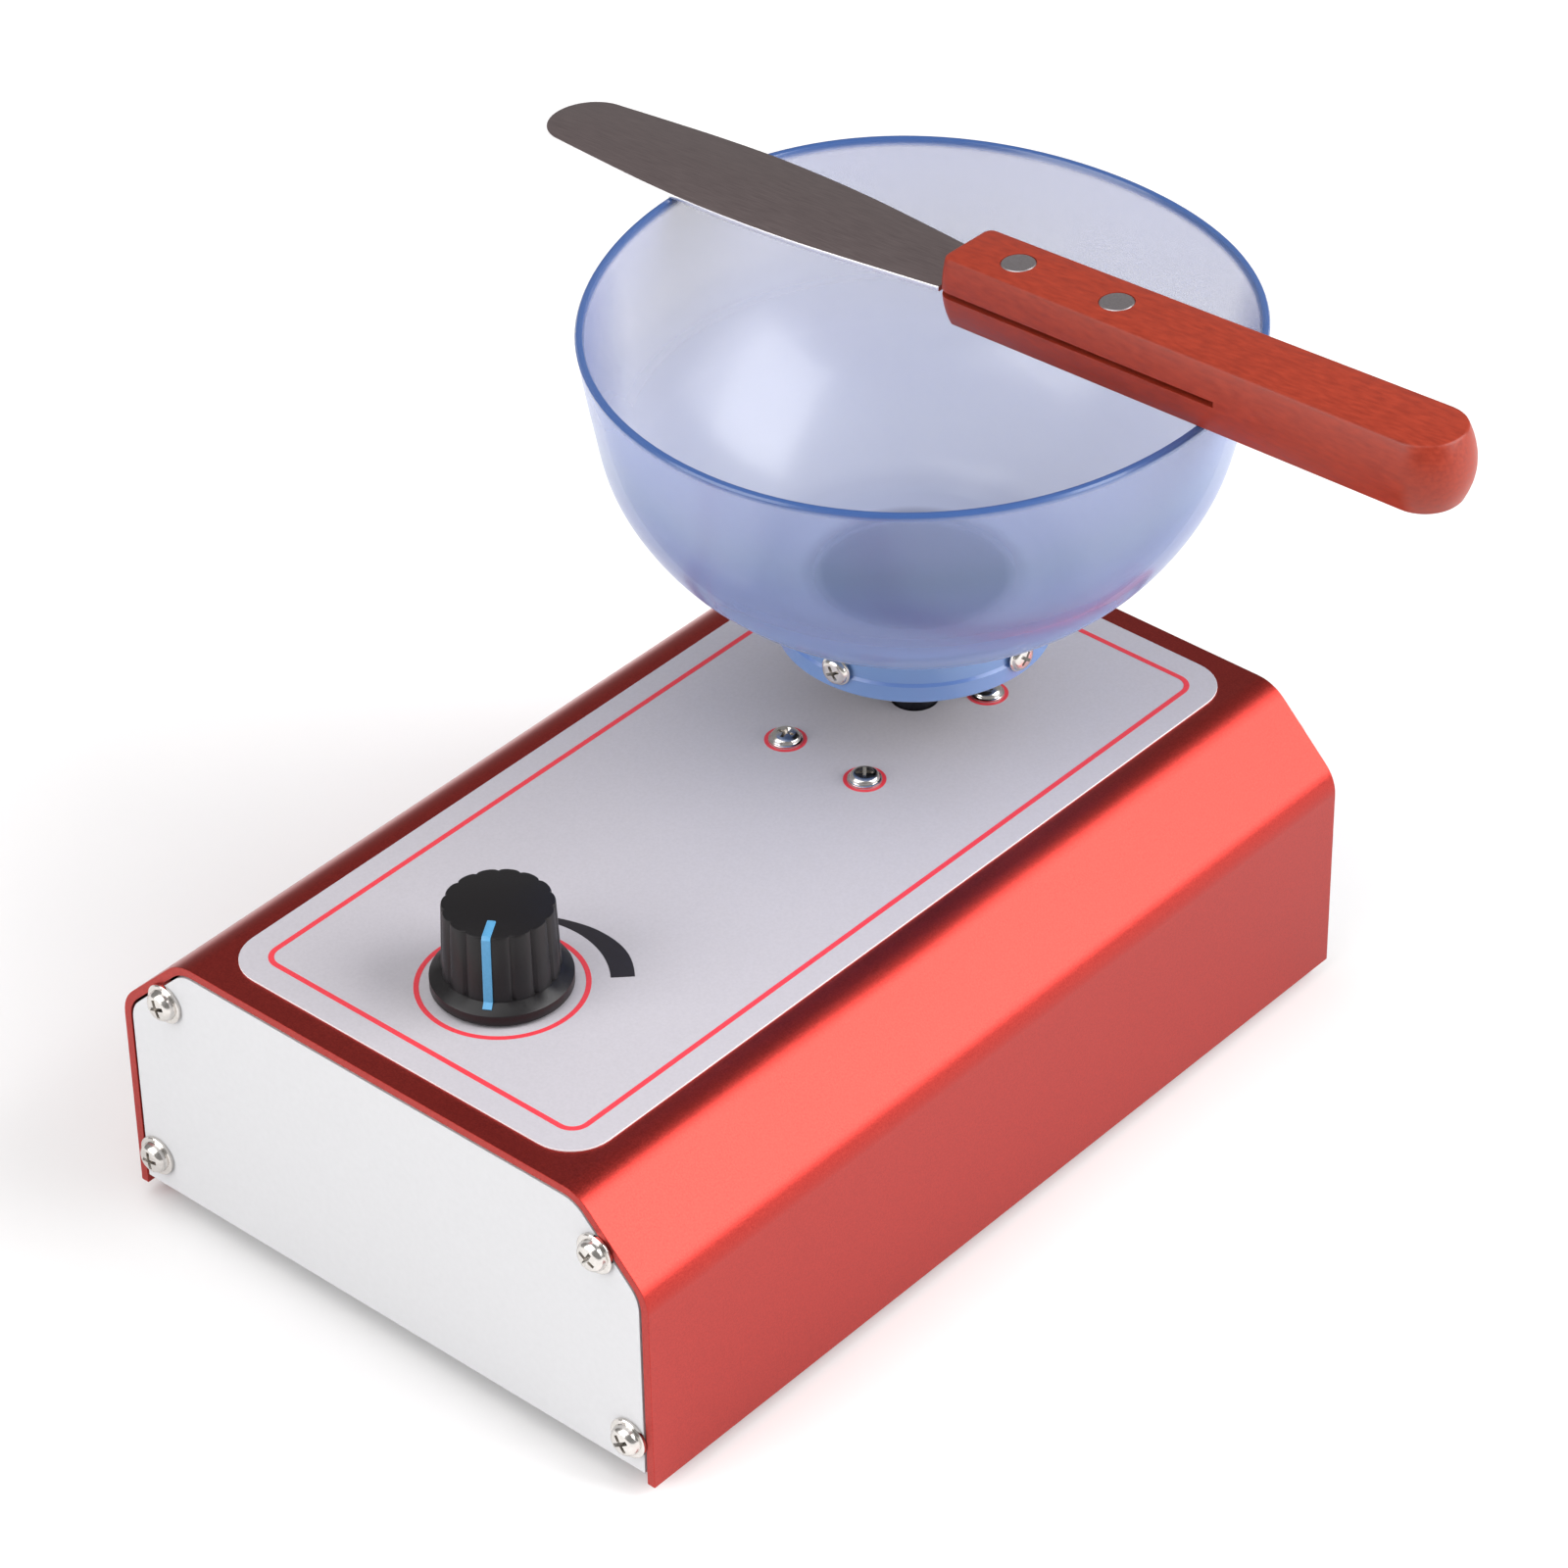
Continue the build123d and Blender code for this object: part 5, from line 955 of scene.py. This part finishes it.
# ---------------------------------------------------------------- knob
@dataclass(frozen=True)
class SpeedKnob:
    """Lobed knob on a round skirt, with its coloured pointer."""

    centre: tuple[float, float] = (0.0, -59.2)
    foot_z: float = 58.3
    skirt: float = 12.0
    skirt_height: float = 2.2
    grip: float = 9.95
    grip_z: float = 3.4
    top: float = 9.45
    height: float = 16.2
    lobes: int = 15
    per_lobe: int = 8
    lobe_depths: tuple[float, ...] = (0.5, 0.17, 0.06)  # in the valley and beside it
    pointer_angle: float = -59.0
    pointer_width: float = 1.5
    pointer_start: float = 4.9
    hollow: tuple[float, float] = (7.6, 4.0)
    bore: tuple[float, float] = (3.0, 12.5)

    def build(self) -> None:
        """Build the knob and its pointer."""
        self.build_knob()
        self.build_pointer()

    def build_knob(self) -> None:
        """Raise the skirt and the grip from a circle, then press the valleys in."""
        x, y = self.centre
        axis = (x, y, 0)
        knob = Workpiece.begin("knob_moulding", Primitive.CIRCLE, at=(x, y, self.foot_z),
                               turn=self.pointer_angle, vertices=self.lobes * self.per_lobe,
                               radius=self.skirt - 0.2, fill_type="NGON")
        rings = [(0.2, self.skirt), (self.skirt_height - 0.15, self.skirt),
                 (self.skirt_height, self.skirt - 0.15), (self.grip_z - 0.1, self.grip + 0.15),
                 (self.grip_z, self.grip), (self.height - 0.35, self.top),
                 (self.height - 0.1, self.top - 0.12), (self.height, self.top - 0.4)]
        low, radius = 0.0, self.skirt - 0.2
        for high, wide in rings:
            knob.extrude((0, 0, high - low))
            knob.resize((wide / radius, wide / radius, 1), axis)
            low, radius = high, wide
        for offset, depth in enumerate(self.lobe_depths):
            knob.pick(Part.VERTEX, lambda place, normal: self.in_grip(place) and self.offset(place) == offset)
            factor = 1 - depth / self.grip
            knob.resize((factor, factor, 1), axis)
        knob.pick(Part.FACE, lambda place, normal: normal.z < -0.9)
        knob.inset(self.skirt - 0.2 - self.hollow[0])
        knob.extrude((0, 0, self.hollow[1]))
        knob.inset(self.hollow[0] - self.bore[0])
        knob.extrude((0, 0, self.bore[1] - self.hollow[1]))
        knob.tidy()
        knob.leave(24)
        knob.fit(Body.KNOB, BLACK_ABS, "black_plastic", "speed_knob")

    def in_grip(self, place: Vector) -> bool:
        """True for a place on the lobed part."""
        return place.z > self.foot_z + self.grip_z - 0.05

    def offset(self, place: Vector) -> int:
        """Steps from a place to the nearest valley."""
        angle = math.degrees(math.atan2(place.y - self.centre[1], place.x - self.centre[0]))
        step = round((angle - self.pointer_angle) / (360 / self.lobes / self.per_lobe)) % self.per_lobe
        return min(step, self.per_lobe - step)

    def build_pointer(self) -> None:
        """Bent bar from the top of the knob down to the skirt."""
        proud = 0.2
        section = [(self.pointer_start, self.height + proud), (self.top - 0.4, self.height + proud),
                   (self.top + proud, self.height - 0.35), (self.grip + proud, self.grip_z + proud),
                   (11.15, 2.9), (10.9, 2.4), (9.2, 3.0), (8.7, self.height - 0.6),
                   (self.pointer_start, self.height - 0.6), (self.pointer_start, self.height + proud)]
        half = self.pointer_width / 2
        bar = Workpiece.traced("pointer_bar", [(radius, -half, height) for radius, height in section])
        bar.fill()
        bar.extrude((0, self.pointer_width, 0))
        bar.tidy()
        bar.pick(Part.EDGE, lambda place, along: abs(along.y) < 0.1 and place.x + place.z > 14.5)
        bar.bevel(0.16, 2)
        bar.leave()
        bar.settle(Matrix.Translation(Vector((*self.centre, self.foot_z)) * MM)
                   @ Matrix.Rotation(math.radians(self.pointer_angle), 4, "Z"))
        bar.fit(Body.KNOB, POINTER, "pointer_blue", "knob_pointer")


# ---------------------------------------------------------------- spatula
@dataclass(frozen=True)
class Spatula:
    """Steel blade riveted in a wooden handle, lying across the bowl. X runs from the tip to the butt."""

    tip: tuple[float, float] = (-93.4, 59.2)
    yaw: float = -1.3
    rim_radius: float = 58.4
    rim_z: float = 136.0
    axis: tuple[float, float] = (0.0, 45.8)
    length: float = 199.95
    exposed: float = 95.0
    thickness: float = 1.0
    tang: tuple[float, float] = (46.0, 8.0)
    widths: tuple[tuple[float, float], ...] = (
        (7.9, 7.9), (16.5, 8.75), (29.7, 9.9), (42.0, 10.5), (54.5, 10.35), (66.0, 9.7), (76.0, 8.7),
        (86.0, 7.55), (95.0, 6.5))
    up: float = 6.3
    down: float = 6.7
    front_width: float = 14.8
    butt_width: float = 16.6
    bulges: tuple[float, float] = (1.2, 1.7)  # beyond the upper and the lower flat face
    front_share: float = 0.5  # how much of the bulge the front end has
    front_corner: float = 2.9
    kerf: tuple[float, float] = (60.0, 1.1)
    rivet_radius: float = 3.05
    rivets: tuple[float, ...] = (12.3, 33.5)

    def frame(self) -> Matrix:
        """Matrix of the blade's mid plane, in metres."""
        yaw = math.radians(self.yaw)
        ahead = Vector((math.cos(yaw), math.sin(yaw)))
        to_tip = Vector(self.tip) - Vector(self.axis)
        along = to_tip.dot(ahead)
        half_chord = math.sqrt(along**2 - to_tip.length_squared + self.rim_radius**2)
        pitch = math.atan((self.down - self.thickness / 2) / (2 * half_chord))
        tip_z = self.rim_z + self.thickness / 2 - (-along - half_chord) * math.tan(pitch)
        place = Matrix.Translation(Vector((*self.tip, tip_z)) * MM)
        return place @ Matrix.Rotation(yaw, 4, "Z") @ Matrix.Rotation(-pitch, 4, "Y")

    def build(self) -> None:
        """Build blade, handle and rivets."""
        place = self.frame()
        self.build_blade(place)
        self.build_handle(place)
        for index, along in enumerate(self.rivets, 1):
            self.build_rivet(place, index, self.exposed + along)

    def build_blade(self, place: Matrix) -> None:
        """Draw the leaf with its tang, give it thickness and ease its edges."""
        tip_radius = self.widths[0][0]
        half_tang = self.tang[1] / 2
        end = self.exposed + self.tang[0]
        upper = arc((tip_radius, 0), tip_radius, 180.0, 90.0, 12)[:-1] + smooth_run(self.widths, 5)
        upper += [(self.exposed, half_tang), (end, half_tang)]
        lower = [(x, -y) for x, y in reversed(upper)]
        outline = [(x, y, -self.thickness / 2) for x, y in upper + lower[:-1] + upper[:1]]
        blade = Workpiece.traced("blade_steel", outline)
        blade.fill()
        blade.extrude((0, 0, self.thickness))
        blade.tidy()
        blade.pick(Part.EDGE, lambda spot, along: abs(along.z) < 0.1 and spot.x < self.exposed - 0.5)
        blade.bevel(0.22, 2)
        blade.leave(25)
        blade.settle(place)
        blade.fit(Body.SPATULA, BLADE, "blade_steel", "spatula_blade")

    def build_handle(self, place: Matrix) -> None:
        """Round a flat outline, raise both faces to a barrel, then saw the kerf and drill the rivet holes."""
        middle = (self.exposed + self.length) / 2
        handle = Workpiece.begin("handle_wood", Primitive.PLANE, at=(middle, 0, 0), size=1,
                                 box=(self.length - self.exposed, self.butt_width, 1))
        handle.pick(Part.VERTEX, lambda spot, normal: spot.x < middle)
        handle.resize((1, self.front_width / self.butt_width, 1), (0, 0, 0))
        handle.bevel(self.front_corner, 6, corners=True)
        handle.pick(Part.VERTEX, lambda spot, normal: spot.x > self.length - 0.01)
        handle.bevel(self.butt_width / 2 * 0.98, 14, corners=True)
        handle.pick(Part.FACE)
        handle.extrude((0, 0, 0.01))
        handle.tidy()
        for side, height, bulge in zip((1, -1), (self.up, self.down), self.bulges):
            handle.pick(Part.FACE, lambda spot, normal: normal.z * side > 0.9)
            self.raise_barrel(handle, height, bulge)
        handle.tidy()
        handle.leave(30)
        handle.cut(self.kerf_tool())
        for along in self.rivets:
            drill = Workpiece.begin("drill", Primitive.CYLINDER, at=(self.exposed + along, 0, 0), vertices=48,
                                    radius=self.rivet_radius + 0.04, depth=30.0)
            drill.leave()
            handle.cut(drill)
        handle.activate()
        bpy.ops.object.shade_smooth_by_angle(angle=math.radians(30))
        handle.settle(place)
        handle.fit(Body.SPATULA, WOOD, "lacquered_wood", "spatula_handle")

    def raise_barrel(self, handle: Workpiece, height: float, bulge: float) -> None:
        """Raise the selected face in steps that draw in, less at the front, to a softened edge."""
        edge = 0.45
        steps = 7
        for step in range(steps):
            drawn = bulge * ((step + 1) ** 2 - step**2) / steps**2
            handle.inset(drawn, (height - edge) / steps)
            back = drawn * (1 - self.front_share) / (self.length - self.exposed)
            handle.resize((1 + back, 1, 1), (self.length, 0, 0))
        for thickness, depth in ((0.1, 0.23), (0.16, 0.15), (0.24, 0.07)):
            handle.inset(thickness, depth)

    def kerf_tool(self) -> Workpiece:
        """Box that saws the slot for the blade."""
        tool = Workpiece.begin("kerf_tool", Primitive.CUBE, at=(self.exposed + self.kerf[0] / 2 - 1, 0, 0),
                               size=1, box=(self.kerf[0] + 2, 24.0, self.kerf[1]))
        tool.leave()
        return tool

    def build_rivet(self, place: Matrix, index: int, along: float) -> None:
        """Rivet through handle and tang, its ends flush with a bright eased edge."""
        radius = self.rivet_radius
        outline = [(0, -self.down), (radius - 0.25, -self.down), (radius, 0.15 - self.down),
                   (radius, self.up - 0.15), (radius - 0.25, self.up + 0.02), (radius - 0.5, self.up - 0.02),
                   (0, self.up - 0.02)]
        rivet = Workpiece.lathed(f"handle_rivet_{index}", outline, 48, (along, 0, 0))
        rivet.leave(20)
        rivet.settle(place)
        rivet.fit(Body.SPATULA, RIVET, "turned_steel", "spatula_rivets")


# ---------------------------------------------------------------- rear fittings and inner works
class RearFittings:
    """Mains inlet and rocker switch."""

    def build(self) -> None:
        """Round the edges of the mouldings and set the inlet's screws."""
        carried("mains_inlet", "inlet_moulding", 0.3).fit(Body.ROOT, BLACK_ABS, "black_plastic", "mains_inlet")
        carried("switch_housing", "switch_bezel", 0.25).fit(Body.ROOT, BLACK_ABS, "black_plastic",
                                                            "switch_housing")
        carried("switch_rocker", "rocker_moulding", 0.35).fit(Body.ROCKER, BLACK_ABS, "black_plastic",
                                                              "switch_rocker")
        places = [facing((x, 92.9, 30.0), (0, 1, 0), roll) for x, roll in ((4.0, 25), (44.0, 60))]
        PanScrew(2.8, 1.9, 1.45, 8.0).set_out("inlet_screw", Body.ROOT, "inlet_screws", places)


def dress_nodes(frame: dict) -> None:
    """Give every CAD node the finish of its slot.
    """
    slots = {part["node"]: part["material_slot"] for part in frame["record"]["subparts"]}
    for node, obj in frame["nodes"].items():
        finish = BY_SLOT[slots[node]]
        obj.data.materials.clear()
        obj.data.materials.append(finish.paint())
    LOG.info("dressed %d nodes", len(frame["nodes"]))


# ---------------------------------------------------------------- studio
@dataclass(frozen=True)
class Softbox:
    """Square lamp that looks at a point over the object."""

    name: str
    place: tuple[float, float, float]  # metres
    size: float
    power: float


@dataclass(frozen=True)
class Studio:
    """Pale floor, soft lamps and the camera."""

    lens: float = 135.19
    azimuth: float = 41.758
    elevation: float = 36.679
    roll: float = -1.032
    eye: tuple[float, float, float] = (538.6, -592.2, 660.9)
    ambient: float = 0.31
    aim: tuple[float, float, float] = (0.0, 0.0, 0.06)
    lamps: tuple[Softbox, ...] = (
        Softbox("key_softbox", (0.88, 0.55, 0.73), 1.05, 21.5),
        Softbox("top_softbox", (-0.2, -0.6, 1.4), 1.4, 12.5),
        Softbox("front_softbox", (-0.5, -1.2, 0.65), 1.0, 12.0),
    )

    def build(self) -> None:
        """Build floor, room light, lamps and camera."""
        floor = Workpiece.begin("studio_floor", Primitive.PLANE, size=30000.0)
        bpy.ops.object.mode_set(mode="OBJECT")
        floor.obj.data.materials.append(Finish("matt_paper_white", "#f3f2f2", "#f1f0f0", 0.0, 0.9, 0.02, 400.0,
                                               0.0).paint())
        world = bpy.data.worlds.new("studio_room")
        world.use_nodes = True
        background = world.node_tree.nodes["Background"]
        background.inputs["Color"].default_value = linear("#fbfaf9")
        background.inputs["Strength"].default_value = self.ambient
        bpy.context.scene.world = world
        for lamp in self.lamps:
            self.hang(lamp)
        self.set_camera()
        bpy.context.scene.view_settings.view_transform = "Standard"

    def hang(self, lamp: Softbox) -> None:
        """Hang one lamp."""
        data = bpy.data.lights.new(lamp.name, "AREA")
        data.size = lamp.size
        data.energy = lamp.power
        obj = bpy.data.objects.new(lamp.name, data)
        bpy.context.scene.collection.objects.link(obj)
        obj.location = lamp.place
        obj.rotation_euler = (Vector(self.aim) - Vector(lamp.place)).to_track_quat("-Z", "Y").to_euler()

    def set_camera(self) -> None:
        """Set the camera at the photograph's viewing angle."""
        turn = math.radians(self.azimuth)
        lift = math.radians(self.elevation)
        roll = math.radians(self.roll)
        back = Vector((math.sin(turn) * math.cos(lift), -math.cos(turn) * math.cos(lift), math.sin(lift)))
        level = (-back).cross(Vector((0, 0, 1))).normalized()
        upright = level.cross(-back)
        right = level * math.cos(roll) + upright * math.sin(roll)
        up = upright * math.cos(roll) - level * math.sin(roll)
        data = bpy.data.cameras.new("studio_camera")
        data.lens = self.lens
        data.sensor_width = 36.0
        data.clip_start, data.clip_end = 0.05, 50.0
        obj = bpy.data.objects.new("studio_camera", data)
        bpy.context.scene.collection.objects.link(obj)
        obj.matrix_world = (Matrix.Translation(Vector(self.eye) * MM)
                            @ Matrix((right, up, back)).transposed().to_4x4())
        bpy.context.scene.camera = obj


def main() -> None:
    """Dress the frame, build every sub-assembly and set the studio."""
    logging.basicConfig(level=logging.INFO, format="%(name)s: %(message)s")
    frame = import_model()
    dress_nodes(frame)
    for assembly in (Enclosure(), FacePlate(), MixingBowl(), SpeedKnob(), Spatula(), RearFittings(), Studio()):
        assembly.build()
        LOG.info("%s built", type(assembly).__name__)


if __name__ == "__main__":
    main()
